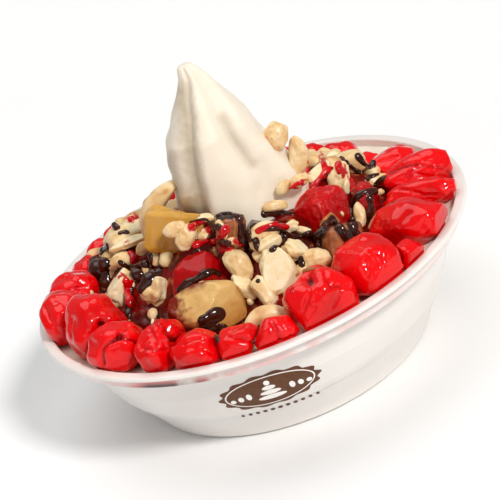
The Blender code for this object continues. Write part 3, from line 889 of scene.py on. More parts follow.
@dataclass
class Bowl:
    """The shallow bowl of thin plastic with its flange, collar, ledge and foot ring."""

    flange_width: float = 4.0
    flange_thickness: float = 0.9
    lip_depth: float = 1.4
    collar_depth: float = 5.6
    wall: float = 1.0
    foot_radius: float = 50.0
    foot_ring: float = 4.0
    foot_recess: float = 1.2
    ledge_height: float = 14.0
    ledge_depth: float = 0.7
    floor_radius: float = 49.0
    floor_rise: float = 1.4
    levels: tuple[float, ...] = (9.0, 17.4, 26.0, 34.0)
    outline: Route = ((1.8, 52.0), (5.2, 53.9), (14.0, 60.2), (17.4, 62.4), (26.0, 66.0), (37.8, 68.6))
    collar_inside: float = 74.3
    # By azimuth; the values near 1 at the front left are partly painted shadow, partly dark syrup.
    stains: Route = ((-180, 0.3), (-150, 0.35), (-136, 0.5), (-128, 1.0), (-118, 0.95), (-111, 0.8),
                     (-107, 0.72), (-104, 0.5), (-86, 0.55), (-70, 0.42), (-50, 0.28), (-20, 0.2),
                     (60, 0.15), (180, 0.3))
    streak_depth: float = 8.4
    streak_azimuth: float = -86.0
    sides: int = 300
    rounding: float = 0.45

    def inner_radius(self, height: float) -> float:
        """Radius of the wall's inner side at a height over the ground."""
        return interpolate(self.outline, height) - self.wall - 0.1

    def profile(self) -> list[Pair]:
        """The bowl's outline, from the middle of the underside to the middle of the floor.

        Returns:
            Its corners, as radii and heights.
        """
        floor = self.foot_recess + self.wall
        under, lip = RIM_Z - self.flange_thickness, RIM_Z - self.lip_depth
        collar = RIM_RADIUS - self.flange_width
        collar_foot = RIM_Z - self.collar_depth
        ledge_radius = interpolate(self.outline, self.ledge_height)
        foot_inside = self.foot_radius - self.foot_ring
        foot = [(foot_inside - 0.6, self.foot_recess), (foot_inside, 0.0), (self.foot_radius, 0.0),
                (self.foot_radius + 1.5, 0.9)]
        lower = [(radius, height) for height, radius in self.outline if height < self.ledge_height]
        ledge = [(ledge_radius - self.ledge_depth, self.ledge_height),
                 (ledge_radius + 0.2, self.ledge_height + 0.6)]
        upper = [(radius, height) for height, radius in self.outline if height > self.ledge_height]
        flange = [(collar + self.wall, collar_foot), (collar + self.wall, under), (RIM_RADIUS - 1.0, under),
                  (RIM_RADIUS - 0.9, lip), (RIM_RADIUS - 0.1, lip), (RIM_RADIUS, RIM_Z - 0.6),
                  (RIM_RADIUS - 0.6, RIM_Z), (collar + 0.4, RIM_Z), (collar, RIM_Z - 0.4)]
        step = collar_foot + self.wall
        shoulder = [(collar, step), (self.inner_radius(collar_foot), step)]
        levels = (*reversed(self.levels), floor + self.floor_rise)
        inside = [(self.inner_radius(height), height) for height in levels]
        outside = [(0.0, self.foot_recess), *foot, *lower, *ledge, *upper, *flange]
        return [*outside, *shoulder, *inside, (self.floor_radius, floor), (0.0, floor)]

    def rounded_profile(self) -> list[Pair]:
        """The outline with every corner cut to a short arc.

        Returns:
            Its places, as radii and heights.
        """
        corners = [np.array(corner) for corner in self.profile()]
        smooth = [corners[0]]
        for before, corner, after in zip(corners, corners[1:], corners[2:]):
            runs = np.linalg.norm(corner - before) / 3, np.linalg.norm(after - corner) / 3
            reach = min(self.rounding, *runs)
            start, end = corner + unit(before - corner) * reach, corner + unit(after - corner) * reach
            for share in (0.0, 0.5, 1.0):
                smooth.append((1 - share) ** 2 * start + 2 * share * (1 - share) * corner + share**2 * end)
        smooth.append(corners[-1])
        return [(float(radius), float(height)) for radius, height in smooth]

    def outside(self) -> list[Pair]:
        """The rounded wall from the foot to the collar.

        Returns:
            Its places, as radii and rising heights.
        """
        wall = []
        for radius, height in self.rounded_profile():
            if radius > self.foot_radius and height < RIM_Z - self.collar_depth:
                if not wall or height > wall[-1][1]:
                    wall.append((radius, height))
        return wall

    def build(self) -> Shape:
        """Turn the outline about the bowl's axis.

        Returns:
            The bowl.
        """
        rings = []
        for radius, height in self.rounded_profile():
            if radius == 0.0:
                rings.append(np.array([(0.0, 0.0, height)]))
            else:
                turns = (360.0 * side / self.sides for side in range(self.sides))
                rings.append(np.array([polar(turn, radius, height) for turn in turns]))
        shape = lofted(rings)
        return shape.given("stain", self.stain_at(shape.points))

    def stain_at(self, points: Array) -> Array:
        """How much the syrup inside colours the thin collar, with fainter streaks under it; the strongest
        values, at the front left, are partly painted shadow.

        Args:
            points: Points of the bowl.

        Returns:
            A value from 0 to 1 for each point.
        """
        azimuth = np.degrees(np.arctan2(points[:, 1], points[:, 0]))
        below = RIM_Z - points[:, 2]
        reach = np.hypot(points[:, 0], points[:, 1])
        strength = interpolate(self.stains, azimuth)
        collar = np.clip((below - 1.2) / 0.4, 0, 1) * np.clip((self.collar_depth + 0.3 - below) / 0.5, 0, 1)
        streak = 0.35 * np.exp(-(((below - self.streak_depth) / 0.8) ** 2))
        streak = streak * np.exp(-(((azimuth - self.streak_azimuth) / 12) ** 2))
        inner = 0.3 * np.clip(below / 0.6, 0, 1) * np.clip((3.2 - below) / 1.0, 0, 1)
        inner = inner * (reach < self.collar_inside)
        return np.maximum(np.maximum(strength * collar * (reach > self.collar_inside), streak), inner)

    def dress(self, ground: Ground) -> Piece:
        """Make the bowl's object, on which later pieces land."""
        return laid(self.build(), "bowl_shell", Plastic(), "bowl", ground)


@dataclass(frozen=True)
class Stain:
    """A patch of colour along a route over the camera's frame."""

    route: Route
    width: float
    softness: float = 1.2

    def at(self, points: Array) -> Array:
        """How much the stain, which has a ragged edge, colours each point.

        Args:
            points: The points.

        Returns:
            A value from 0 to 1 for each point.
        """
        ragged = self.width * (1.0 + 0.5 * roughness_at(points, 0.5, 1.0, 2))
        inside = ragged - route_distance(VIEW.marks(points), self.route)
        return np.clip(inside / self.softness + 0.5, 0.0, 1.0)


def strongest(stains: tuple[Stain, ...], points: Array) -> Array:
    """How much a set of stains colours each point.

    Args:
        stains: The stains.
        points: The points.

    Returns:
        The strength of the strongest stain at each point.
    """
    strength = np.zeros(len(points))
    for stain in stains:
        strength = np.maximum(strength, stain.at(points))
    return strength


@dataclass(frozen=True)
class Pleat:
    """A fold that runs up the swirl: its route as (height above the rim, azimuth), half width and depth."""

    route: Route
    width: float
    depth: float
    sharpness: float = 2.0

    def relief(self, azimuth: Array, height: float) -> Array:
        """How far the surface is drawn in, as a share of the radius, below 0 on a ridge."""
        away = np.abs(angle_between(azimuth, interpolate(self.route, height))) / self.width
        return self.depth * np.exp(-(away**self.sharpness))


@dataclass
class SoftServe:
    """The ice cream that fills the bowl and rises in a pleated swirl.

    A section is a height above the rim, the middle's place on X, and a radius. A dent, or the shoulder, is
    an azimuth, the height at which it ends, a half width and a depth.
    """

    level: float = -6.6
    gap: float = 0.15
    slope: Route = ((25.0, 6.0), (33.0, 3.2), (42.0, -1.5), (50.0, -5.5), (57.0, -6.5), (62.0, -4.7),
                    (67.0, -3.5), (73.6, -2.8))
    foot: float = 26.0
    tip: Pair = (3.0, 71.2)
    sections: tuple[Triple, ...] = (
        (6.0, 2.0, 25.0), (14.0, 2.5, 23.0), (20.0, 3.0, 21.4), (30.0, 3.0, 19.6), (38.0, 3.0, 18.0),
        (47.0, 2.8, 15.4), (54.0, 3.4, 11.4), (61.0, 3.6, 7.3), (66.5, 3.8, 4.6), (70.2, 3.0, 2.9),
    )
    pleats: tuple[Pleat, ...] = (
        Pleat(((6, -131), (38, -130), (47, -126), (54, -125), (61, -123), (67, -114)), 11.0, 0.16),
        Pleat(((6, -118), (29, -117), (43, -112), (52, -108), (61, -102), (68, -88)), 11.0, -0.05),
        Pleat(((6, -50), (33, -55), (36, -61), (43, -67), (52, -68), (58, -65), (65, -62)), 19.0, 0.16),
        Pleat(((6, -34), (30, -36), (36, -45), (44, -48), (53, -44), (59, -34), (64, -24)), 12.0, -0.05),
        Pleat(((6, -5), (40, -2), (70, 5)), 18.0, 0.08),
        Pleat(((6, 62), (40, 58), (70, 50)), 20.0, 0.15),
        Pleat(((6, 95), (40, 90), (70, 82)), 14.0, -0.04),
        Pleat(((6, 128), (40, 118), (70, 110)), 18.0, 0.14),
        Pleat(((6, -168), (40, -168), (70, -160)), 16.0, -0.03),
    )
    dents: tuple = ((-152.0, 31.0, 24.0, 7.0), (-173.0, 40.0, 14.0, 3.5), (-15.0, 36.0, 14.0, 2.0))
    shoulder: tuple = (-8.0, 39.0, 32.0, 5.4)
    # Painted shade: routes along the swirl's valleys where the cream is painted grey-tan, on its front only.
    painted_valley_shade: tuple[Stain, ...] = (
        Stain(((183, 92), (187, 130), (192, 170), (198, 210)), 6.0, 16.0),
        Stain(((168, 160), (176, 190)), 5.0, 18.0), Stain(((222, 118), (236, 142), (252, 164)), 2.0, 12.0),
    )
    shade_back: float = 10.0
    syrup_edge: float = 59.5
    warm_azimuth: float = -148.0
    warm_top: float = 36.0
    fade: float = 16.0
    sides: int = 288
    flat_rows: int = 60
    rows: int = 150

    def surface(self, radius: Array | float) -> Array | float:
        """Height above the rim of the ice cream outside the swirl."""
        return interpolate(self.slope, radius)

    def swirl_radius(self, azimuth: Array, height: float) -> Array:
        """Radius of the swirl about its own leaning axis.

        Args:
            azimuth: Azimuths about the axis.
            height: Height above the rim.

        Returns:
            The radius at each azimuth.
        """
        relief = np.zeros_like(azimuth)
        for pleat in self.pleats:
            relief += pleat.relief(azimuth, height)
        dent = np.zeros_like(azimuth)
        for middle, top, width, depth in self.dents:
            fade = min(max((top - height) / self.fade, 0.0), 1.0)
            dent = np.maximum(dent, depth * fade * np.exp(-((angle_between(azimuth, middle) / width) ** 2)))
        middle, top, width, rise = self.shoulder
        spread = np.exp(-((angle_between(azimuth, middle) / width) ** 2))
        swell = rise * min(max((top - height) / self.fade, 0.0), 1.0) * spread
        return interpolate(self.sections, height, 2) * (1.0 - relief) - dent + swell

    def ring(self, height: float) -> Array:
        """Points round the swirl.

        Args:
            height: Their height above the rim.

        Returns:
            The ring of points.
        """
        azimuth = np.arange(self.sides) * 360.0 / self.sides
        radius = self.swirl_radius(azimuth, height)
        centre = interpolate(self.sections, height)
        turn = np.radians(azimuth)
        return np.column_stack([centre + radius * np.cos(turn), radius * np.sin(turn),
                                np.full(self.sides, RIM_Z + height)])

    def flat_ring(self, radius: float, height: float) -> Array:
        """A round ring about the bowl's axis."""
        turn = np.arange(self.sides) * 2.0 * math.pi / self.sides
        return np.column_stack([radius * np.cos(turn), radius * np.sin(turn), np.full(self.sides, height)])

    def build(self, bowl: Bowl) -> Shape:
        """The ice cream from the bowl's floor to the swirl's tip.

        Args:
            bowl: The bowl that it fills.

        Returns:
            One closed shape.
        """
        floor = bowl.foot_recess + bowl.wall + self.gap
        shoulder = RIM_Z - bowl.collar_depth + bowl.wall + 0.1
        rings = [np.array([(0.0, 0.0, floor)]), self.flat_ring(bowl.floor_radius - 2.0 * self.gap, floor)]
        for height in (floor + bowl.floor_rise, *bowl.levels, shoulder):
            rings.append(self.flat_ring(bowl.inner_radius(height) + self.gap, height))
        edge = RIM_RADIUS - bowl.flange_width
        collar = (shoulder, RIM_Z + self.surface(edge))
        rings += [self.flat_ring(edge + 0.1, height) for height in collar]
        for radius in np.linspace(edge - 0.6, self.foot, self.flat_rows):
            rings.append(self.flat_ring(radius, RIM_Z + self.surface(radius)))
        start, end = self.sections[0][0], self.sections[-1][0]
        rings += [self.ring(start + (end - start) * row / (self.rows - 1)) for row in range(self.rows)]
        peak = np.array((self.tip[0], 0.0, RIM_Z + self.tip[1]))
        rim = rings[-1]
        for share in (0.35, 0.65, 0.88):
            cap = peak + (rim - peak) * math.sqrt(1.0 - share**2)
            cap[:, 2] = rim[:, 2] + (peak[2] - rim[:, 2]) * share
            rings.append(cap)
        rings.append(peak[None, :])
        shape = lofted(rings)
        points = shape.points
        waves = roughness_at(points, 0.09, 4.0, 2) * 0.55
        reach = np.hypot(points[:, 0], points[:, 1])
        free = (points[:, 2] > RIM_Z + self.level - 0.1) & (reach < edge - 0.3)
        points += shape.normals() * (waves * free)[:, None]
        ragged = reach + 1.6 * roughness_at(points, 0.16, 9.0, 2)
        low = points[:, 2] < RIM_Z + 5.0
        shape.given("stain", np.clip((self.syrup_edge - ragged) / 2.0, 0.0, 1.0) * free * low)
        azimuth = np.degrees(np.arctan2(points[:, 1], points[:, 0]))
        side = np.exp(-((angle_between(azimuth, self.warm_azimuth) / 40.0) ** 2))
        rise = points[:, 2] - RIM_Z + 3.0 * roughness_at(points, 0.1, 6.0)
        shape.given("warmth", 0.75 * side * np.clip((self.warm_top - rise) / 14.0, 0.0, 1.0) * (rise > 0))
        # Painted shade along the valleys on the swirl's front, which the cream's colour reads as its shade
        # value.
        shade = strongest(self.painted_valley_shade, points)
        return shape.given("shade", 0.85 * shade * (points[:, 1] < self.shade_back))

    def dress(self, bowl: Bowl, ground: Ground) -> Piece:
        """Make the object of the ice cream in its bowl, on which later pieces land."""
        return laid(self.build(bowl), "soft_serve_swirl", Cream(), "soft_serve", ground)


def directions(count: int = 160) -> Array:
    """Spread directions evenly over a sphere.

    Args:
        count: Their number.

    Returns:
        Vectors of length 1.
    """
    step = math.pi * (3.0 - math.sqrt(5.0))
    height = 1.0 - 2.0 * (np.arange(count) + 0.5) / count
    level = np.sqrt(1.0 - height**2)
    turn = step * np.arange(count)
    return np.column_stack([level * np.cos(turn), level * np.sin(turn), height])


@dataclass(frozen=True)
class Crease:
    """A fold in a soft skin: its route over the camera's frame, its depth and its half width there."""

    route: Route
    depth: float
    width: float

    def carve(self, points: Array) -> Array:
        """Draw the skin in along the route, on the side that faces the camera.

        Args:
            points: Points of a round piece.

        Returns:
            The moved points.
        """
        middle = points.mean(axis=0)
        outward = points - middle
        outward /= np.linalg.norm(outward, axis=1)[:, None]
        facing = np.clip((outward @ VIEW.axes()[2] + 0.25) / 0.4, 0.0, 1.0)
        away = route_distance(VIEW.marks(points), self.route) / self.width
        pull = self.depth * np.exp(-(away**2)) * facing
        return points - outward * pull[:, None]


@dataclass(frozen=True)
class CherryPlace:
    """Where one cherry lies in the ring, its half sizes outward, around and up, and the creases in it."""

    azimuth: float
    ring_radius: float
    height: float
    outward: float
    around: float
    high: float
    creases: tuple[tuple[Route, float, float], ...] = ()


@dataclass
class CherryRing:
    """Glazed cherries, pressed against each other, the ice cream and the rim."""

    places: tuple[CherryPlace, ...] = tuple(CherryPlace(*row) for row in (
        (-175.5, 67.4, 3.4, 8.4, 10.4, 8.6, (
            (((44, 306), (49, 318), (55, 327), (59, 333)), 0.7, 1.2),
            (((52, 298), (60, 300), (66, 306)), 0.4, 2.0))),
        (-157.0, 62.2, 4.5, 9.1, 11.5, 11.0, (
            (((102, 324),), 3.2, 4.2), (((102, 326), (97, 331), (90, 333)), 0.8, 2.2),
            (((72, 318), (70, 330), (72, 343)), 0.5, 1.4))),
        (-142.5, 65.3, 3.1, 9.0, 10.1, 7.8, (
            (((120, 335),), 1.6, 3.0), (((113, 341), (119, 336), (125, 331), (128, 326)), 1.0, 1.7),
            (((103, 364), (101, 356), (102, 349), (108, 343), (116, 339), (125, 338), (135, 340),
              (141, 346), (142, 354)), 1.5, 2.0))),
        (-126.0, 64.0, 3.1, 9.6, 6.8, 7.6, (
            (((165, 331), (171, 338), (178, 339), (185, 337)), 2.4, 3.4),
            (((154, 319), (160, 326), (165, 336), (169, 347)), -1.3, 1.7),
            (((161, 321), (175, 327), (190, 335)), -1.0, 1.3),
            (((150, 330), (154, 338), (158, 345)), 0.9, 2.0),
            (((143, 349), (155, 351), (167, 350)), 1.0, 1.8))),
        (-113.5, 68.4, 2.4, 6.4, 8.4, 6.0, (
            (((183, 344), (195, 339), (205, 338)), 0.8, 1.5),
            (((204, 349), (210, 353), (216, 355)), 0.5, 1.2))),
        (-101.5, 69.5, 2.0, 5.6, 7.2, 5.2, (
            (((227, 337), (243, 339), (262, 345)), 0.8, 1.5),)),
        (-92.0, 70.3, 1.6, 5.2, 7.6, 5.2, (
            (((272, 323), (277, 332), (280, 340)), 1.1, 1.9),
            (((283, 326), (288, 330), (292, 336)), 0.5, 1.3))),
        (-77.0, 66.5, 3.0, 9.8, 11.7, 9.9, (
            (((309, 279),), 2.2, 5.0), (((310, 282), (308, 298), (303, 310)), 0.8, 1.6),
            (((325, 273), (330, 287), (341, 285)), 1.2, 1.6),
            (((342, 287), (337, 300), (333, 307)), 0.9, 1.5),
            (((316, 281), (318, 292), (322, 302)), 0.6, 1.4))),
        (-58.5, 63.8, 3.4, 11.4, 10.4, 8.4, (
            (((367, 252), (365, 260), (367, 268), (368, 278)), 0.7, 1.4),
            (((357, 248), (368, 252), (380, 254)), 0.5, 1.6),
            (((386, 247), (383, 257), (385, 266)), 0.7, 1.4))),
        (-49.5, 71.0, 1.4, 4.6, 5.6, 4.2, ((((399, 252), (402, 258), (401, 264)), 0.6, 1.3),)),
        (-34.3, 63.2, 2.8, 13.2, 8.2, 7.6, (
            (((410, 213), (403, 220), (400, 228)), 0.4, 2.0),
            (((432, 213), (426, 222), (425, 233)), 0.5, 1.6))),
        (-16.0, 62.7, 2.2, 12.8, 4.8, 4.8, (
            (((387, 188), (407, 190), (425, 195), (443, 195)), 0.9, 1.3),
            (((427, 198), (440, 202), (452, 196)), 0.9, 1.3))),
        (-1.5, 64.0, 2.7, 12.2, 7.0, 6.3, (
            (((387, 174), (402, 166), (418, 163)), 1.5, 1.6),
            (((407, 181), (410, 172), (423, 165), (443, 168)), 1.1, 1.5),
            (((415, 173), (432, 178), (451, 183)), 0.8, 1.3),
            (((438, 163), (444, 170), (452, 174)), 0.7, 1.3))),
        (14.0, 59.5, 2.3, 8.4, 7.0, 5.6, ((((379, 162), (388, 159), (398, 157)), 0.6, 1.4),)),
        (26.0, 56.0, 0.6, 5.0, 5.2, 4.4),
        (43.0, 58.5, 1.0, 6.5, 7.8, 5.5, ((((330, 152), (340, 150), (350, 154)), 0.5, 1.3),)),
        (57.0, 62.5, 0.4, 5.2, 5.2, 4.2),
        (72.0, 62.0, 0.6, 7.5, 8.8, 6.2),
        (90.5, 63.0, 0.8, 8.0, 9.2, 6.6),
        (110.5, 63.0, 0.8, 7.8, 9.8, 6.4),
        (131.0, 65.0, 1.6, 5.2, 5.6, 4.6),
        (140.5, 64.8, 1.6, 5.2, 5.4, 4.6),
        (152.5, 63.0, 1.7, 5.6, 6.0, 4.8),
        (169.0, 64.1, 2.9, 8.3, 9.0, 7.2, (
            (((66, 292), (74, 288), (88, 288)), 0.8, 1.6), (((60, 277), (75, 279), (86, 285)), 0.6, 1.6))),
    ))
    growth: float = 1.1
    reach: Pair = (73.6, 75.2)
    softness: float = 1.2
    give: float = 0.8
    neighbours: float = 30.0
    rounds: int = 2
    deepest_fold: float = 2.2
    divisions: int = 5

    def cherry(self, ball: Shape, number: int, place: CherryPlace) -> Array:
        """Points of one cherry before it is pressed.

        Args:
            ball: A ball of radius 1.
            number: The cherry's number, which picks its lumps.
            place: Where it lies.

        Returns:
            Its points.
        """
        lumps = 0.16 * roughness_at(ball.points, 1.6, 3.7 * number)
        fine = 0.03 * roughness_at(ball.points, 3.2, 2.2 * number, 2)
        half_sizes = (place.outward, place.around, place.high)
        points = ball.points * (1.0 + lumps + fine)[:, None] * half_sizes * self.growth
        centre = polar(place.azimuth, place.ring_radius, RIM_Z + place.height)
        return points @ turn_matrix(z=place.azimuth).T + centre

    def held(self, points: Array, normal: Array, limit: float) -> Array:
        """Keep points from passing a plane, with a rounded edge.

        Args:
            points: The points.
            normal: The plane's direction.
            limit: How far along it the points may reach.

        Returns:
            The pressed points.
        """
        past = (points @ normal - limit) / self.softness
        kept = -self.softness * np.logaddexp(0.0, -past)
        return points + (kept - past * self.softness)[:, None] * normal

    def pressed(self, cherries: list[Array]) -> list[Array]:
        """Flatten each pair of cherries where they meet.

        Args:
            cherries: The points of every cherry, in a list that is changed.

        Returns:
            The same list.
        """
        candidates = directions()
        for first in range(len(cherries)):
            for second in range(first + 1, len(cherries)):
                one, other = cherries[first], cherries[second]
                along = other.mean(axis=0) - one.mean(axis=0)
                if np.linalg.norm(along) > self.neighbours:
                    continue
                tried = np.vstack([unit(along), candidates])
                overlap = (one[::6] @ tried.T).max(axis=0) - (other[::6] @ tried.T).min(axis=0)
                best = int(np.argmin(overlap))
                if overlap[best] <= 0.0:
                    continue
                normal = tried[best]
                meeting = (one @ normal).max() - overlap[best] / 2.0
                cherries[first] = self.held(one, normal, meeting + self.give)
                cherries[second] = self.held(other, -normal, -meeting + self.give)
        return cherries

    def rested(self, points: Array, cream: SoftServe) -> Array:
        """Drape a cherry over the ice cream, inside the collar over which it may lean a little.

        Args:
            points: The cherry's points.
            cream: The ice cream.

        Returns:
            The moved points.
        """
        reach = np.hypot(points[:, 0], points[:, 1])
        lowest = RIM_Z + 0.1 + cream.surface(reach)
        past = (lowest - points[:, 2]) / 0.5
        held = points.copy()
        held[:, 2] = lowest + 0.5 * np.logaddexp(0.0, -past)
        low, high = self.reach
        limit = low + (high - low) * np.clip((held[:, 2] - RIM_Z - 0.4) / 1.4, 0.0, 1.0)
        held[:, :2] *= np.minimum(limit / np.maximum(reach, 1.0), 1.0)[:, None]
        return held

    def build(self, cream: SoftServe) -> list[Shape]:
        """Every cherry, pressed in place and creased.

        Args:
            cream: The ice cream they rest on.

        Returns:
            One shape for each cherry.
        """
        ball = round_ball(self.divisions)
        cherries = [self.cherry(ball, number, place) for number, place in enumerate(self.places, 1)]
        for _ in range(self.rounds):
            cherries = [self.rested(cherry, cream) for cherry in cherries]
            cherries = self.pressed(cherries)
        shapes = []
        for cherry, place in zip(cherries, self.places):
            smooth = self.rested(cherry, cream)
            points = smooth
            for crease in place.creases:
                points = Crease(*crease).carve(points)
            # The fold value, how far a crease moved each point, is painted shade in the cherry's colour.
            fold = np.clip(np.linalg.norm(points - smooth, axis=1) / self.deepest_fold, 0.0, 1.0)
            shapes.append(Shape(points, ball.faces).given("fold", fold))
        return shapes

    def dress(self, cream: SoftServe, ground: Ground) -> list[Piece]:
        """Make one object for each cherry on the ice cream; later pieces land on them."""
        return [laid(shape, f"glazed_cherry_{number:02d}", GlazedCherry(), f"cherry_{number:02d}", ground)
                for number, shape in enumerate(self.build(cream), 1)]


# Toppings


@dataclass
class HeapCore:
    """The lumpy ring under the toppings. A mound or a dip is a place on X and Y, a spread and a height."""

    surface: tuple = ((0.0, 16.0), (24.0, 16.0), (34.0, 11.0), (50.0, 2.0), (56.0, -3.5))
    mounds: tuple = ((-38.0, 18.0, 13.0, 6.0), (38.0, 10.0, 12.0, 5.0), (-17.0, -22.0, 7.0, 7.0),
                     (9.0, -27.0, 7.0, 4.0), (-38.0, 27.0, 5.5, 4.6))
    dips: tuple = ((-14.0, -33.0, 8.0, 5.0), (-20.0, -47.0, 9.0, 4.0), (27.0, -28.0, 8.0, 4.0),
                   (38.0, -18.0, 6.0, 3.0))
    bottom_radii: Triple = (33.0, 42.0, 50.0)
    inner_edge: float = 27.0
    edge: float = 54.8
    sink: float = 1.2
    rows: int = 44

    def height(self, across: Array, along: Array) -> Array:
        """Height above the rim of the surface that the nuts lie on.

        Args:
            across: Places on X.
            along: Places on Y.

        Returns:
            The height at each place.
        """
        radius = np.hypot(across, along)
        height = interpolate(self.surface, radius)
        for middle_x, middle_y, spread, rise in self.mounds:
            away = (across - middle_x) ** 2 + (along - middle_y) ** 2
            height = height + rise * np.exp(-away / (2 * spread**2))
        return height

    def build(self, cream: SoftServe) -> Shape:
        """The core, from the ice cream's slope up to the swirl.

        Args:
            cream: The ice cream that it lies on.

        Returns:
            One closed ring.
        """
        rings = [cream.ring(cream.sections[0][0] + 0.4)]
        rings[0][:, :2] *= 0.94
        for radius in (*self.bottom_radii, self.edge):
            rings.append(cream.flat_ring(radius, RIM_Z + cream.surface(radius) - 0.35))
        for radius in np.linspace(self.edge - 0.2, self.inner_edge, self.rows):
            ring = cream.flat_ring(radius, 0.0)
            lump = 1.4 * roughness_at(ring, 0.12) + 0.7 * roughness_at(ring, 0.4, 3.0, 2)
            fade = min((self.edge - radius) / 3.5, 1.0) ** 0.5
            bottom = cream.surface(radius) - 0.3
            top = self.height(ring[:, 0], ring[:, 1]) - self.sink + lump
            for middle_x, middle_y, spread, depth in self.dips:
                away = (ring[:, 0] - middle_x) ** 2 + (ring[:, 1] - middle_y) ** 2
                top = top - depth * np.exp(-away / (2 * spread**2))
            ring[:, 2] = RIM_Z + bottom + np.maximum(top - bottom, 0.4) * fade
            rings.append(ring)
        inner = cream.ring(float(self.height(np.zeros(1), np.zeros(1))[0]) - self.sink)
        inner[:, :2] *= 0.9
        rings.append(inner)
        shape = lofted(rings)
        last, sides = len(rings) - 1, cream.sides
        closing = [(last * sides + side, last * sides + (side + 1) % sides, (side + 1) % sides, side)
                   for side in range(sides)]
        return Shape(shape.points, shape.faces + closing)

    def dress(self, cream: SoftServe, ground: Ground) -> Piece:
        """Make the object of the core on the ice cream; later pieces land on it."""
        return laid(self.build(cream), "soaked_core", SoakedCore(), "topping_heap", ground)


def cut_by(points: Array, normal: Array, limit: float, softness: float) -> tuple[Array, Array]:
    """Cut a piece flat beyond a plane, with a soft edge.

    Args:
        points: The points.
        normal: The plane's direction.
        limit: How far along it the piece reaches.
        softness: How round the edge is.

    Returns:
        The points, and how much each lies on the cut face.
    """
    past = (points @ normal - limit) / softness
    kept = -softness * np.logaddexp(0.0, -past)
    moved = past * softness - kept
    return points - moved[:, None] * normal, np.clip(moved / 0.12, 0.0, 1.0)


@dataclass(frozen=True)
class Chunk:
    """One piece of fruit or cake: its solid and finish, how fine and soft it is, its cuts and its stains."""

    node: str
    finish: Finish
    voxel: float = 0.4
    smoothing: int = 4
    lump: float = 0.35
    facets: tuple[tuple[Triple, float], ...] = ()
    stains: tuple[Stain, ...] = ()

    def build(self) -> Shape:
        """The piece with rounded edges and an uneven surface.

        Returns:
            Its shape, at the solid's place.
        """
        shape = refined(solid_of(self.node), self.node, self.voxel, self.smoothing)
        middle = (shape.points.min(axis=0) + shape.points.max(axis=0)) / 2.0
        for normal, limit in self.facets:
            points, _ = cut_by(shape.points - middle, unit(np.array(normal)), limit, 0.2)
            shape.points = points + middle
        rough = 0.8 * roughness_at(shape.points, 0.22, 2.0, 2) + 0.15 * roughness_at(shape.points, 0.9, 5.0)
        shape.points += shape.normals() * (self.lump * rough)[:, None]
        return shape.given("stain", strongest(self.stains, shape.points))


def chunks() -> tuple[Chunk, ...]:
    """Describe the cut pieces of fruit, jelly and cake.

    Returns:
        The pieces in the order in which they are laid.
    """
    # Each fruit's three colours are painted shade below and painted light on top.
    jelly = FruitFlesh("red_jelly", (100, 8, 5), (156, 2, 4), (184, 4, 8), 0.046, 0.062, (1, 1, 1), 0.3, 0.3)
    pear = FruitFlesh("syrup_fruit", (140, 60, 20), (196, 136, 66), (226, 186, 118), 0.036, 0.054,
                      (0.3, 0.9, 0.9), 0.2, 0.4, (122, 26, 4))
    berry = FruitFlesh("strawberry_flesh", (120, 2, 2), (186, 5, 10), (214, 16, 20), 0.044, 0.066,
                       (1.6, 1.6, 0.15), 0.6, 0.5)
    pear_facets = (((0.35, -0.9, 0.25), 6.2), ((-0.3, -0.5, 0.8), 5.0), ((0.95, -0.2, 0.2), 10.6),
                   ((-0.85, -0.5, 0.1), 10.0))
    # The first stain darkens the pear's whole left end red-brown.
    pear_stains = (Stain(((160, 290), (168, 330)), 18.0, 14.0), Stain(((178, 290), (202, 282)), 4.0, 8.0),
                   Stain(((176, 329), (208, 332)), 5.0, 10.0))
    berry_facets = (((-0.6, -0.75, 0.3), 4.7), ((0.65, -0.75, 0.25), 4.8), ((0.25, -0.3, 1.0), 5.6),
                    ((-0.5, -0.2, 0.9), 6.2))
    sauced_right = (Stain(((314, 250), (321, 234), (332, 218), (343, 232), (352, 250)), 4.5),
                    Stain(((352, 224), (356, 244)), 5.0))
    sauced_left = (Stain(((216, 219), (228, 215), (240, 219)), 4.0),)
    return (
        Chunk("pineapple_chunk", FruitFlesh()),
        Chunk("jelly_chunk", jelly, smoothing=2),
        Chunk("pear_chunk", pear, facets=pear_facets, stains=pear_stains),
        Chunk("strawberry_chunk", berry, smoothing=2, lump=1.0, facets=berry_facets),
        Chunk("strawberry_back", berry, lump=0.5),
        Chunk("brownie_right", Brownie(), smoothing=3, stains=sauced_right),
        Chunk("brownie_left", Brownie(), smoothing=3, stains=sauced_left),
        Chunk("chocolate_wedge", Sauce(), smoothing=3),
    )


@dataclass
class Chunks:
    """All the cut pieces."""

    pieces: tuple[Chunk, ...] = field(default_factory=chunks)

    def dress(self, ground: Ground) -> list[tuple[Piece, str]]:
        """Make one object for each piece.

        Args:
            ground: What later pieces land on.

        Returns:
            The objects, each with its slot.
        """
        made = []
        for chunk in self.pieces:
            piece = laid(chunk.build(), chunk.node + "_cut", chunk.finish, chunk.node, ground)
            made.append((piece, chunk.finish.slot))
        return made


class Cut(Enum):
    """The ways in which a nut is split or chopped."""

    HALF = "nut_halves"
    WHOLE = "nut_kernels"
    CRESCENT = "nut_crescents"
    CHUNK = "nut_chunks"
    SLICE = "nut_slices"
    STICK = "nut_sticks"


@dataclass(frozen=True)
class CutForm:
    """How a way of cutting shapes a nut: lumps, thickness, bend, squareness, and the planes that cut it."""

    lump: float
    thickness: float
    bend: float = 0.0
    squareness: float = 2.0
    planes: int = 0
    flat_below: float = 1.0
    flat_above: float = 1.0


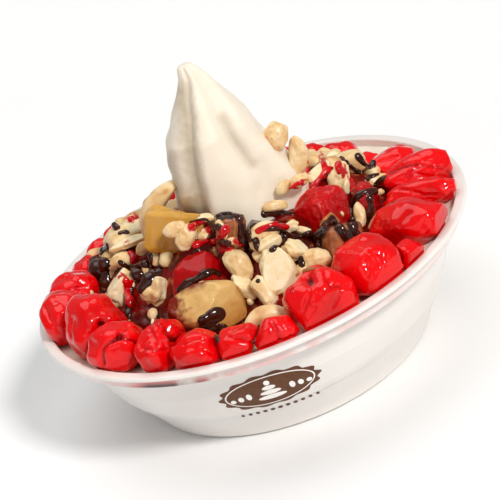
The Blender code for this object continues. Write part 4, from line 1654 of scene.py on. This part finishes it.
FORMS = {
    Cut.HALF: CutForm(0.1, 0.85, 0.04, 2.1, 0, 0.3),
    Cut.WHOLE: CutForm(0.1, 0.92, 0.0, 2.0),
    Cut.CRESCENT: CutForm(0.12, 0.85, 0.2, 2.3),
    Cut.CHUNK: CutForm(0.36, 0.95, 0.0, 2.0, 2),
    Cut.SLICE: CutForm(0.2, 0.75, 0.05, 2.3, 1, 0.5, 0.5),
    Cut.STICK: CutForm(0.14, 0.95, 0.06, 3.0, 1),
}


@dataclass(frozen=True)
class Nut:
    """A piece of nut by its two ends and width in the camera's frame, and its rise over what it lies on."""

    cut: Cut
    start: Pair
    end: Pair
    width: float
    rise: float
    turn: float = 0.0


def nut_form(cut: Cut, ball: Shape, seed: float) -> Shape:
    """A nut of half length, half width and half thickness 1 before it is scaled.

    Args:
        cut: How it is cut.
        ball: A ball of radius 1.
        seed: Picks its lumps and cuts.

    Returns:
        The nut, with how much each point lies on a cut face.
    """
    form = FORMS[cut]
    draws = Random(seed)
    points = ball.points.copy()
    power = 2.0 / form.squareness
    points = np.sign(points) * np.abs(points) ** power
    lumps = form.lump * roughness_at(ball.points, 1.4, seed) + 0.05 * roughness_at(ball.points, 3.4, seed, 2)
    points *= (1.0 + lumps)[:, None]
    shown = np.zeros(len(points))
    for number in range(form.planes):
        azimuth = 360.0 * (number + draws.uniform(0.1, 0.9)) / form.planes
        normal = unit(np.append(polar(azimuth, 1.0, 0.0)[:2], draws.uniform(-0.2, 0.9)))
        points, face = cut_by(points, normal, draws.uniform(0.55, 0.8), 0.14)
        shown = np.maximum(shown, face)
    for normal, limit in (((0.0, 0.0, -1.0), form.flat_below), ((0.0, 0.0, 1.0), form.flat_above)):
        if limit < 1.0:
            points, face = cut_by(points, np.array(normal), limit, 0.06)
            shown = np.maximum(shown, face)
    points[:, 2] *= form.thickness
    return Shape(points, ball.faces).given("cut", shown)


def bent(shape: Shape, length: float, width: float, bend: float) -> Shape:
    """Scale a nut and bend its ends to one side.

    Args:
        shape: The nut.
        length: Its length.
        width: Its width.
        bend: How far the ends move, over the length.

    Returns:
        The nut at its size.
    """
    points = shape.points * (length / 2.0, width / 2.0, width / 2.0)
    points[:, 1] -= bend * length * ((points[:, 0] * 2.0 / length) ** 2 - 0.3)
    return Shape(points, shape.faces, dict(shape.values))


SHOWN_NUTS = tuple(Nut(*row) for row in (
    # on the left
    (Cut.WHOLE, (98, 262), (131, 268), 11, 1.5), (Cut.HALF, (103, 289), (116, 268), 11, 2.0),
    (Cut.CHUNK, (124, 308), (119, 269), 27, 4.5), (Cut.CHUNK, (151, 303), (163, 273), 27, 4.5),
    (Cut.CHUNK, (131, 281), (138, 273), 8, 2.5), (Cut.HALF, (144, 262), (148, 275), 8, 1.5),
    (Cut.STICK, (87, 255), (109, 251), 9, 3.0), (Cut.HALF, (84, 297), (93, 291), 7, -1.5),
    (Cut.HALF, (151, 320), (154, 308), 9, 1.5), (Cut.HALF, (110, 262), (136, 258), 15, 3.5, -20.0),
    (Cut.SLICE, (110, 249), (149, 235), 14, 5.0, -38.0), (Cut.HALF, (138, 255), (148, 242), 12, 5.0),
    (Cut.SLICE, (101, 240), (141, 224), 11, 7.0, -30.0), (Cut.HALF, (113, 228), (131, 223), 15, 5.0),
    (Cut.HALF, (153, 249), (158, 266), 11, 4.0), (Cut.HALF, (170, 249), (163, 267), 13, 3.0),
    # before the pineapple
    (Cut.HALF, (163, 233), (187, 226), 15, 6.0), (Cut.HALF, (180, 250), (191, 224), 18, 6.5),
    (Cut.STICK, (196, 219), (214, 216), 8, 6.0), (Cut.CHUNK, (199, 246), (209, 225), 16, 6.0),
    (Cut.STICK, (217, 220), (227, 238), 7, 5.0), (Cut.CRESCENT, (225, 242), (239, 241), 7, 4.5),
    # in the middle
    (Cut.HALF, (262, 208), (288, 204), 10, 4.0), (Cut.HALF, (253, 253), (270, 262), 12, 1.0),
    (Cut.CRESCENT, (249, 246), (277, 222), 18, 3.5), (Cut.CHUNK, (257, 250), (279, 236), 16, 4.5),
    (Cut.CHUNK, (281, 230), (298, 223), 13, 4.0), (Cut.STICK, (297, 228), (311, 232), 9, 3.5),
    (Cut.HALF, (294, 270), (313, 270), 12, 1.0), (Cut.CHUNK, (283, 244), (309, 257), 20, 4.0),
    # at the front
    (Cut.HALF, (227, 250), (250, 280), 22, 4.0), (Cut.CHUNK, (232, 277), (253, 297), 17, 3.0),
    (Cut.STICK, (255, 278), (276, 304), 18, 3.5), (Cut.SLICE, (272, 247), (284, 297), 31, 4.5),
    (Cut.CRESCENT, (242, 323), (289, 309), 15, 9.0), (Cut.HALF, (301, 264), (331, 256), 21, 3.5),
    # on the right
    (Cut.WHOLE, (311, 149), (312, 167), 12, 5.0), (Cut.HALF, (317, 152), (335, 158), 12, 4.0),
    (Cut.SLICE, (309, 182), (328, 161), 14, 6.0), (Cut.CHUNK, (337, 192), (340, 161), 20, 5.5),
    (Cut.STICK, (347, 194), (346, 173), 7, 4.0), (Cut.SLICE, (337, 154), (366, 169), 12, 4.5),
    (Cut.WHOLE, (290, 187), (308, 175), 12, 6.0), (Cut.HALF, (277, 193), (291, 181), 11, 3.0),
    (Cut.HALF, (364, 182), (397, 178), 12, 3.5), (Cut.HALF, (357, 202), (362, 228), 11, 4.0),
))


@dataclass
class NutHeap:
    """The chopped nuts: those that the camera sees one by one, and more round the back."""

    shown: tuple[Nut, ...] = SHOWN_NUTS
    fullness: float = 1.12
    toward_camera: float = 0.65
    hidden: int = 72
    hidden_span: Pair = (8.0, 160.0)
    hidden_radii: Pair = (30.0, 53.5)
    crumbs: int = 66
    crumb_radii: Pair = (33.0, 55.0)
    seed: int = 17

    def laid(self, nut: Nut, ball: Shape, number: int, ground: Ground) -> Shape | None:
        """One nut on what lies under it.

        Args:
            nut: The nut.
            ball: A ball of radius 1.
            number: The nut's number, which picks its lumps.
            ground: What it lies on.

        Returns:
            The nut, or None where nothing lies under it.
        """
        middle = (np.array(nut.start) + nut.end) / 2.0
        found = ground.seen(*middle)
        if found is None:
            return None
        facing = unit((1.0 - self.toward_camera) * found[1] + self.toward_camera * VIEW.axes()[2])
        centre = found[0] + facing * nut.rise
        ends = [VIEW.on_plane(*end, centre, facing) for end in (nut.start, nut.end)]
        length = float(np.linalg.norm(ends[1] - ends[0]))
        width = VIEW.span(centre, nut.width) * self.fullness
        shape = bent(nut_form(nut.cut, ball, 5.0 + 3.1 * number), length, width, FORMS[nut.cut].bend)
        first = unit(ends[1] - ends[0])
        third = unit(facing - np.dot(facing, first) * first)
        rotation = np.column_stack([first, np.cross(third, first), third]) @ turn_matrix(x=nut.turn)
        return shape.placed(rotation, (ends[0] + ends[1]) / 2.0)

    def strewn(self, ball: Shape, core: HeapCore, draws: Random) -> list[tuple[Cut, Shape]]:
        """Nuts round the back, spread evenly with seeded draws.

        Args:
            ball: A ball of radius 1.
            core: The core that they lie on.
            draws: The seeded draws.

        Returns:
            Each nut with its way of cutting.
        """
        start, end = self.hidden_span
        inner, outer = self.hidden_radii
        nuts = []
        for index in range(self.hidden):
            azimuth = start + (end - start) * (index + 0.5) / self.hidden
            radius = inner + (outer - inner) * math.sqrt((index * 0.618 + 0.1) % 1.0)
            length, share = draws.uniform(8.0, 14.0), draws.uniform(0.45, 0.7)
            cut = draws.choice(list(Cut))
            shape = bent(nut_form(cut, ball, 31.0 + index), length, length * share, FORMS[cut].bend)
            place = polar(azimuth, radius, 0.0)
            place[2] = RIM_Z + float(core.height(place[:1], place[1:2])[0]) + draws.uniform(-0.4, 1.2)
            rotation = turn_matrix(z=draws.uniform(0, 360)) @ turn_matrix(y=draws.uniform(-28, 28))
            nuts.append((cut, shape.placed(rotation, place)))
        return nuts

    def crumb(self, ball: Shape, index: int, core: HeapCore, ground: Ground,
              draws: Random) -> Shape | None:
        """One small chip of nut on the heap's surface.

        Args:
            ball: A ball of radius 1.
            index: The chip's number.
            core: The core.
            ground: What it lies on.
            draws: The seeded draws.

        Returns:
            The chip, or None where the core doesn't show.
        """
        azimuth = index * 137.5
        inner, outer = self.crumb_radii
        place = polar(azimuth, inner + (outer - inner) * math.sqrt(index / self.crumbs), 0.0)
        found = ground.under(place[0], place[1])
        level = RIM_Z + float(core.height(place[:1], place[1:2])[0])
        if found is None or found[0][2] > level + 1.6:
            return None
        size = draws.uniform(1.4, 3.0)
        shape = bent(nut_form(Cut.CHUNK, ball, 70.0 + index), size * 1.4, size, 0.0)
        rotation = turn_matrix(draws.uniform(0, 360), draws.uniform(0, 360), draws.uniform(0, 360))
        return shape.placed(rotation, found[0] + found[1] * size * 0.2)

    def build(self, core: HeapCore, ground: Ground) -> dict[Cut, Shape]:
        """All the nuts, one shape for each way of cutting.

        Args:
            core: The core that they lie on.
            ground: What the shown ones lie on.

        Returns:
            The shapes by their way of cutting.
        """
        fine, plain, small, tiny = round_ball(5), round_ball(4), round_ball(3), round_ball(2)
        draws = Random(self.seed)
        made: dict[Cut, list[Shape]] = {cut: [] for cut in Cut}
        for number, nut in enumerate(self.shown):
            shape = self.laid(nut, fine if nut.width >= 18 else plain, number, ground)
            if shape is not None:
                made[nut.cut].append(shape)
        for cut, shape in self.strewn(small, core, draws):
            made[cut].append(shape)
        crumbs = [self.crumb(tiny, index, core, ground, draws) for index in range(self.crumbs)]
        made[Cut.CHUNK] += [shape for shape in crumbs if shape is not None]
        return {cut: joined(shapes) for cut, shapes in made.items()}

    def dress(self, core: HeapCore, ground: Ground, stains: tuple[Stain, ...]) -> list[Piece]:
        """Make one object for each way of cutting.

        Args:
            core: The core that the nuts lie on.
            ground: What later pieces land on.
            stains: Where syrup has coloured them.

        Returns:
            The objects.
        """
        pieces = []
        for cut, shape in self.build(core, ground).items():
            shape.given("stain", strongest(stains, shape.points))
            pieces.append(laid(shape, cut.value, RoastedNut(), "topping_heap", ground))
        return pieces


@dataclass(frozen=True)
class LargeNut:
    """A nut that is a solid of its own: its place above the rim, its size, how it lies and how it bends."""

    node: str
    place: Triple
    length: float
    width: float
    yaw: float
    tilt: float
    bend: float
    thickness: float = 0.42

    def build(self, ball: Shape) -> Shape:
        """The nut: a long lumpy ball, bent along its length.

        Args:
            ball: A ball of radius 1.

        Returns:
            Its shape.
        """
        seed = self.length + self.width + self.place[0]
        lumps = 0.16 * roughness_at(ball.points, 1.6, seed) + 0.03 * roughness_at(ball.points, 4.0, seed, 2)
        half_sizes = (self.length / 2.0, self.width / 2.0, self.width * self.thickness)
        points = ball.points * (1.0 + lumps)[:, None] * half_sizes
        points[:, 2] -= self.bend * ((points[:, 0] * 2.0 / self.length) ** 2 - 0.3)
        groove = np.clip(ball.points[:, 2] * 1.4, 0.0, 1.0) * np.exp(-((ball.points[:, 1] / 0.12) ** 2))
        points[:, 2] -= 0.25 * groove
        rotation = turn_matrix(z=self.yaw) @ turn_matrix(y=-self.tilt)
        shape = Shape(points, ball.faces).placed(rotation, np.array(self.place) + (0.0, 0.0, RIM_Z))
        return shape.given("cut", np.clip(-0.1 + 0.3 * ball.points[:, 2], 0.0, 1.0))


@dataclass
class LargeNuts:
    """The nuts on the swirl and beside it."""

    nuts: tuple[LargeNut, ...] = (
        LargeNut("cashew_left", (-24.3, -0.5, 26.6), 26.6, 6.5, -14, 48, 4.2, 0.56),
        LargeNut("cashew_swirl", (25.8, -6.5, 26.5), 16.5, 8.5, 15, 62, -2.5),
        LargeNut("peanut_swirl", (22.2, -5.5, 37.0), 10.2, 8.4, 10, 55, 0.0, 0.52),
    )
    pink: Stain = Stain(((267, 136), (270, 138)), 1.6)

    def dress(self, ground: Ground) -> list[Piece]:
        """Make one object for each nut.

        Args:
            ground: What later pieces land on.

        Returns:
            The objects.
        """
        ball = round_ball(5)
        pieces = []
        for nut in self.nuts:
            shape = nut.build(ball)
            shape.given("stain", 0.5 * self.pink.at(shape.points))
            pieces.append(laid(shape, nut.node + "_kernel", RoastedNut(), nut.node, ground))
        return pieces


@dataclass(frozen=True)
class Stroke:
    """A run of sauce: its route over the camera's frame, and its half width at its two ends."""

    route: Route
    start: float
    end: float | None = None

    def samples(self, step: float = 0.6) -> tuple[Array, Array]:
        """Follow the route along a smooth line.

        Args:
            step: The run's length between two places.

        Returns:
            Even places along it, and the half width at each.
        """
        knots = np.array(self.route, float)
        if len(knots) == 1:
            return knots, np.array([self.start])
        lengths = np.append(0.0, np.cumsum(np.linalg.norm(np.diff(knots, axis=0), axis=1)))
        count = max(int(lengths[-1] / step), 2)
        along = np.linspace(0.0, lengths[-1], count)
        marks = np.column_stack([np.interp(along, lengths, knots[:, column]) for column in (0, 1)])
        for _ in range(3):
            marks[1:-1] = (marks[:-2] + 2.0 * marks[1:-1] + marks[2:]) / 4.0
        widths = np.linspace(self.start, self.end or self.start, count)
        uneven = 1.0 + 0.2 * np.sin(along * 0.3 + self.start * 7.0)
        return marks, widths * uneven


@dataclass
class Drizzle:
    """Runs of one sauce over the heap: it bridges narrow gaps, and stops where it would fall steeply."""

    name: str
    finish: Finish
    strokes: tuple[Stroke, ...]
    voxel: float = 0.24
    flatness: float = 0.55
    swelling: float = 1.08
    reach: int = 3
    deepest: float = 3.0
    steepest: float = 0.8
    passes: int = 8
    smoothing: int = 12

    def beads(self, stroke: Stroke, ball: Shape, ground: Ground) -> list[Shape]:
        """A row of flattened balls on the high spots along one run.

        Args:
            stroke: The run.
            ball: A ball of radius 1.
            ground: What the sauce lies on.

        Returns:
            The balls.
        """
        marks, widths = stroke.samples()
        found = [ground.seen(*mark) for mark in marks]
        start = VIEW.place()
        far = np.array([np.linalg.norm(hit[0] - start) if hit else np.inf for hit in found])
        reach = self.reach
        draped = np.array([far[max(index - reach, 0):index + reach + 1].min() for index in range(len(far))])
        draped = np.maximum(draped, far - self.deepest)
        back = VIEW.axes()[2]
        facing = np.array([0.6 * hit[1] + 0.4 * back if hit else back for hit in found])
        for _ in range(self.passes if len(draped) > 3 else 0):
            draped[1:-1] = (draped[:-2] + draped[1:-1] + draped[2:]) / 3.0
            facing[1:-1] = (facing[:-2] + facing[1:-1] + facing[2:]) / 3.0
        drop = np.abs(np.gradient(draped)) if len(draped) > 1 else np.zeros(1)
        beads = []
        for mark, away, width, outward, fall in zip(marks, draped, widths, facing, drop):
            if not fall < self.steepest:
                continue
            normal = unit(outward)
            side = unit(np.cross(normal, (0.3, 0.9, 0.1)))
            turn = np.column_stack([side, np.cross(normal, side), normal])
            centre = start + VIEW.ray(*mark) * away
            size = np.array((width, width, width * self.flatness)) * self.swelling
            beads.append(Shape(ball.points * size, ball.faces).placed(turn, centre))
        return beads

    def dress(self, ground: Ground) -> Piece:
        """Make the sauce's object: the beads melted into one smooth mass.

        Args:
            ground: What later pieces land on.

        Returns:
            The sauce.
        """
        ball = round_ball(2)
        beads = [bead for stroke in self.strokes for bead in self.beads(stroke, ball, ground)]
        shape = refined(joined(beads), self.name, self.voxel, self.smoothing)
        return laid(shape, self.name, self.finish, "topping_heap", ground)


CHOCOLATE = tuple(Stroke(*row) for row in (
    (((114, 225), (118, 229)), 1.5), (((120, 233), (127, 232)), 0.9),
    (((108, 246), (103, 250), (101, 254)), 1.5), (((95, 262), (98, 270), (100, 280)), 2.6),
    (((104, 264), (106, 274), (105, 282)), 2.0), (((149, 252), (151, 259), (152, 268)), 0.9),
    (((133, 268), (139, 264), (147, 264)), 1.3),
    (((160, 272), (152, 276), (146, 283), (141, 289)), 2.4, 1.9), (((134, 272), (141, 277)), 1.8),
    (((180, 290), (188, 284), (198, 278), (206, 273), (214, 271), (219, 274)), 1.6, 1.2),
    # A thin dark run along the line where the nuts before the pineapple meet.
    (((190, 222), (197, 220), (205, 219), (213, 222)), 0.5),
    (((215, 217), (222, 214), (230, 213), (237, 215), (240, 220)), 0.8),
    (((241, 226), (243, 238), (247, 248)), 1.5), (((249, 230), (250, 240)), 1.2),
    (((218, 227), (224, 231)), 1.4), (((221, 242), (229, 243)), 1.2),
    (((264, 214), (272, 213.5), (282, 213.5), (292, 214)), 1.3),
    (((263, 231), (270, 229), (276, 228.5), (282, 230), (287, 234), (293, 236.5), (300, 236), (308, 233.5),
      (313, 235), (318, 240), (318, 248)), 0.7, 1.2), (((284, 236), (283, 243)), 1.1),
    (((256, 240), (257, 249)), 1.0), (((272, 250), (278, 246), (283, 243)), 1.0), (((258, 281),), 0.9),
    (((301, 259), (302, 265)), 1.0), (((341, 158), (347, 163), (353, 168), (359, 172)), 0.9),
    (((358, 156), (362, 161), (366, 166), (372, 167), (373, 163)), 1.1),
    (((375, 191), (366, 191), (357, 196), (352, 208), (351, 222), (356, 233)), 1.2),
    (((370, 198), (371, 210), (367, 222)), 1.3), (((366, 183), (369, 177), (378, 174)), 0.8),
    (((204, 321), (211, 316), (219, 314)), 2.3, 2.0), (((206, 328), (216, 327), (228, 328)), 2.0, 1.4),
    (((215, 332), (217, 337), (218, 341)), 0.9), (((131, 290), (129, 305), (128, 318)), 1.2),
    (((120, 262), (128, 268)), 0.9), (((317, 236), (323, 228), (332, 218), (340, 228), (346, 240)), 1.3),
    (((384, 178), (376, 184)), 1.0),
))
SYRUP = tuple(Stroke(*row) for row in (
    (((131, 253), (134, 256), (134, 260)), 1.5), (((131, 219), (136, 217)), 1.6),
    (((116, 274), (119, 271.5), (123, 274)), 0.5), (((126, 281), (128, 286), (128, 292)), 1.2),
    (((132, 281), (130, 285)), 0.8), (((127, 293), (131, 303)), 1.5),
    (((190, 227), (196, 224), (203, 222)), 0.9), (((203, 222), (208, 227), (212, 233)), 0.7),
    (((195, 245), (201, 243), (206, 241)), 1.1),
    (((213, 242), (217, 240), (221, 236), (225, 230), (228, 226)), 1.3), (((223, 249), (231, 249)), 1.2),
    (((235, 241), (242, 246)), 0.6), (((258, 231), (264, 228), (270, 225), (276, 224)), 1.0),
    (((279, 226.5), (287, 227)), 1.0), (((291, 188), (296, 184), (302, 182)), 0.7),
    (((312, 187), (317, 182), (321, 176), (325, 171), (331, 169)), 1.0), (((323, 178), (326, 177)), 0.8),
    (((321, 155), (323, 162), (325, 168)), 1.2), (((338, 164), (339, 172)), 1.2),
    (((351, 180), (352, 187), (353, 194)), 0.9), (((292, 287), (292, 292)), 0.7),
    (((307, 167), (307, 172)), 0.8), (((308, 161), (308, 163)), 0.6),
))
CARAMEL = tuple(Stroke(*row) for row in (
    (((320, 229), (325, 220), (331, 213), (338, 222), (345, 236)), 0.8),
    (((234, 219), (235, 228), (234, 237)), 0.6), (((296, 275), (306, 270), (316, 268)), 0.7),
    (((214, 248), (216, 255)), 0.8),
))
STAINS = tuple(Stain(*row) for row in (
    (((118, 274), (126, 281), (128, 292)), 4.0), (((190, 228), (198, 225), (206, 228), (212, 236)), 4.0),
    (((196, 246), (208, 241), (222, 236)), 3.5), (((258, 231), (268, 227), (286, 227)), 2.4),
    (((291, 188), (298, 186), (304, 182)), 4.0), (((312, 187), (321, 177), (331, 169)), 2.6),
    (((321, 155), (325, 168)), 3.0), (((344, 166), (345, 178)), 3.2), (((351, 180), (353, 194)), 2.4),
    (((131, 253), (134, 260)), 3.0), (((126, 241), (126, 245)), 1.6), (((130, 218), (138, 218)), 4.0),
    (((236, 241), (242, 247)), 3.0), (((305, 166), (309, 172)), 2.4),
))


@dataclass(frozen=True)
class Patch:
    """A flat printed shape: its middle on the wall, its half sizes, and the waves of its edge."""

    across: float
    height: float
    half_width: float
    half_height: float
    waves: int = 0
    swing: float = 0.0
    squareness: float = 2.0

    def outline(self, sides: int) -> Array:
        """The edge of the shape.

        Args:
            sides: The number of its places.

        Returns:
            The places across and up the wall.
        """
        turn = np.arange(sides) * 2.0 * math.pi / sides
        reach = 1.0 + self.swing * np.cos(self.waves * turn)
        power = 2.0 / self.squareness
        across = np.sign(np.cos(turn)) * np.abs(np.cos(turn)) ** power
        upward = np.sign(np.sin(turn)) * np.abs(np.sin(turn)) ** power
        return np.column_stack([across * self.half_width, upward * self.half_height]) * reach[:, None]


@dataclass
class Badge:
    """A plain printed badge on the bowl's wall: a scalloped oval with a swirl and dots, and no lettering."""

    mark: Pair = (270.0, 390.0)
    dark: Rgb = (94, 54, 28)
    light: Rgb = (247, 242, 236)
    sides: int = 96
    rows: int = 14

    def layers(self) -> list[tuple[str, Rgb, float, list[Patch]]]:
        """The printed layers, from the wall outward.

        Returns:
            Each layer's name, colour, lift and shapes.
        """
        beads = [Patch(offset, -10.4, 0.85 - 0.05 * abs(offset) / 2.6, 0.75)
                 for offset in np.arange(-5, 6) * 2.6]
        cone = [Patch(0.0, 3.6 - 2.2 * step, 1.0 + 1.25 * step, 1.0) for step in range(4)]
        drops = [Patch(side * (7.4 + 2.8 * step), -0.6 - 0.4 * step, 0.95, 1.5 - 0.3 * step)
                 for side in (-1, 1) for step in range(3)]
        return [
            ("badge_field", self.dark, 0.05, [Patch(0.0, 0.0, 17.0, 7.4, 14, 0.05)] + beads),
            ("badge_ring", self.light, 0.08, [Patch(0.0, 0.0, 15.4, 6.3)]),
            ("badge_inside", self.dark, 0.11, [Patch(0.0, 0.0, 14.9, 5.9)]),
            ("badge_motif", self.light, 0.14, cone + drops),
        ]

    def flat(self, patch: Patch, middle: Pair, bowl: Bowl, lift: float) -> Shape:
        """One shape laid on the wall.

        Args:
            patch: The shape.
            middle: The badge's azimuth and height.
            bowl: The bowl.
            lift: How far over the wall the print lies.

        Returns:
            The shape as a thin surface.
        """
        edge = patch.outline(self.sides)
        rings = [np.zeros((1, 2))] + [edge * (row + 1) / self.rows for row in range(self.rows)]
        rings = [ring + (patch.across, patch.height) for ring in rings]
        outside = [(point[1], point[0]) for point in bowl.outside()]
        placed = []
        for ring in rings:
            height = middle[1] + ring[:, 1]
            radius = interpolate(outside, height) + lift
            turn = np.radians(middle[0]) + ring[:, 0] / radius
            placed.append(np.column_stack([radius * np.cos(turn), radius * np.sin(turn), height]))
        return lofted(placed)

    def dress(self, bowl: Bowl, ground: Ground) -> list[Piece]:
        """Make one object for each printed layer.

        Args:
            bowl: The bowl.
            ground: Holds the bowl's wall.

        Returns:
            The objects.
        """
        place = ground.seen(*self.mark)[0]
        middle = (math.degrees(math.atan2(place[1], place[0])), float(place[2]))
        pieces = []
        for name, colour, lift, patches in self.layers():
            shape = joined([self.flat(patch, middle, bowl, lift) for patch in patches])
            pieces.append(shape.mesh_object(name, Ink(shade=colour).material()))
        return pieces


# Studio


@dataclass(frozen=True)
class Lamp:
    """A soft, far light: where it shines from, its strength, how wide it looks, and its colour."""

    name: str
    azimuth: float
    elevation: float
    strength: float
    spread: float
    colour: Triple = (1.0, 1.0, 1.0)


@dataclass
class Studio:
    """The camera, the floor and plain soft light."""

    sensor: float = 36.0
    floor_side: float = 8.0
    ambient: float = 0.24
    lamps: tuple[Lamp, ...] = (
        Lamp("key", -58.0, 39.0, 2.1, 11.0, (1.0, 0.985, 0.96)),
        Lamp("overhead", 100.0, 72.0, 1.15, 50.0),
        Lamp("fill", -120.0, 28.0, 0.28, 40.0, (0.97, 0.98, 1.0)),
    )

    def camera(self) -> None:
        """Stand the camera where the frame has it."""
        lens = VIEW.focal / VIEW.size * self.sensor
        data = bpy.data.cameras.new("view_camera")
        data.sensor_width = self.sensor
        data.lens = lens
        data.clip_end = 20.0
        camera = bpy.data.objects.new("view_camera", data)
        right, up, back = VIEW.axes()
        turn = Matrix(np.column_stack([right, up, back]).tolist()).to_4x4()
        camera.matrix_world = Matrix.Translation(Vector(VIEW.place() * MM)) @ turn
        bpy.context.scene.collection.objects.link(camera)
        bpy.context.scene.camera = camera

    def light(self) -> None:
        """Hang the soft lights and set the room's own light."""
        for lamp in self.lamps:
            data = bpy.data.lights.new(lamp.name, "SUN")
            data.energy = lamp.strength
            data.angle = math.radians(lamp.spread)
            data.color = lamp.colour
            light = bpy.data.objects.new(lamp.name, data)
            rise = math.radians(lamp.elevation)
            shine = Vector(polar(lamp.azimuth, math.cos(rise), math.sin(rise)))
            light.location = shine
            light.rotation_euler = (-shine).to_track_quat("-Z", "Y").to_euler()
            bpy.context.scene.collection.objects.link(light)
        world = bpy.data.worlds.new("room")
        world.use_nodes = True
        background = world.node_tree.nodes["Background"]
        background.inputs["Color"].default_value = (1.0, 1.0, 1.0, 1.0)
        background.inputs["Strength"].default_value = self.ambient
        bpy.context.scene.world = world
        bpy.context.scene.view_settings.view_transform = "Standard"

    def floor(self) -> None:
        """Lay the plain pale floor."""
        half = self.floor_side / 2.0 / MM
        corners = [(-half, -half), (half, -half), (half, half), (-half, half)]
        corners = np.array([(*corner, -0.05) for corner in corners])
        piece = Shape(corners, [(0, 1, 2, 3)]).mesh_object("studio_floor", Floor("floor").material())

    def build(self) -> None:
        """Set up the whole studio."""
        self.camera()
        self.light()
        self.floor()


def carry(pieces: list[Piece], slot: str) -> None:
    """Let pieces ride with the sundae and report them.

    Args:
        pieces: The pieces.
        slot: The record's material slot; not used.
    """
    for piece in pieces:
        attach(piece, BODY)
        LOG.info("%s: %d faces", piece.name, len(piece.data.polygons))


def main() -> None:
    """Build the sundae piece by piece, then the studio."""
    logging.basicConfig(level=logging.INFO, format="%(name)s: %(message)s")
    ground = Ground()
    bowl, cream = Bowl(), SoftServe()
    carry([bowl.dress(ground)], Plastic().slot)
    carry([cream.dress(bowl, ground)], Cream().slot)
    carry(Badge().dress(bowl, ground), Ink().slot)
    carry(CherryRing().dress(cream, ground), GlazedCherry().slot)
    core = HeapCore()
    carry([core.dress(cream, ground)], SoakedCore().slot)
    for piece, slot in Chunks().dress(ground):
        carry([piece], slot)
    carry(LargeNuts().dress(ground), RoastedNut().slot)
    carry(NutHeap().dress(core, ground, STAINS), RoastedNut().slot)
    caramel = Sauce(thin=(206, 136, 82), thick=(160, 92, 46))
    carry([Drizzle("caramel_edges", caramel, CARAMEL).dress(ground)], caramel.slot)
    carry([Drizzle("chocolate_drizzle", Sauce(), CHOCOLATE).dress(ground)], Sauce().slot)
    carry([Drizzle("red_syrup", RedSyrup(), SYRUP).dress(ground)], RedSyrup().slot)
    Studio().build()


if __name__ == "__main__":
    main()
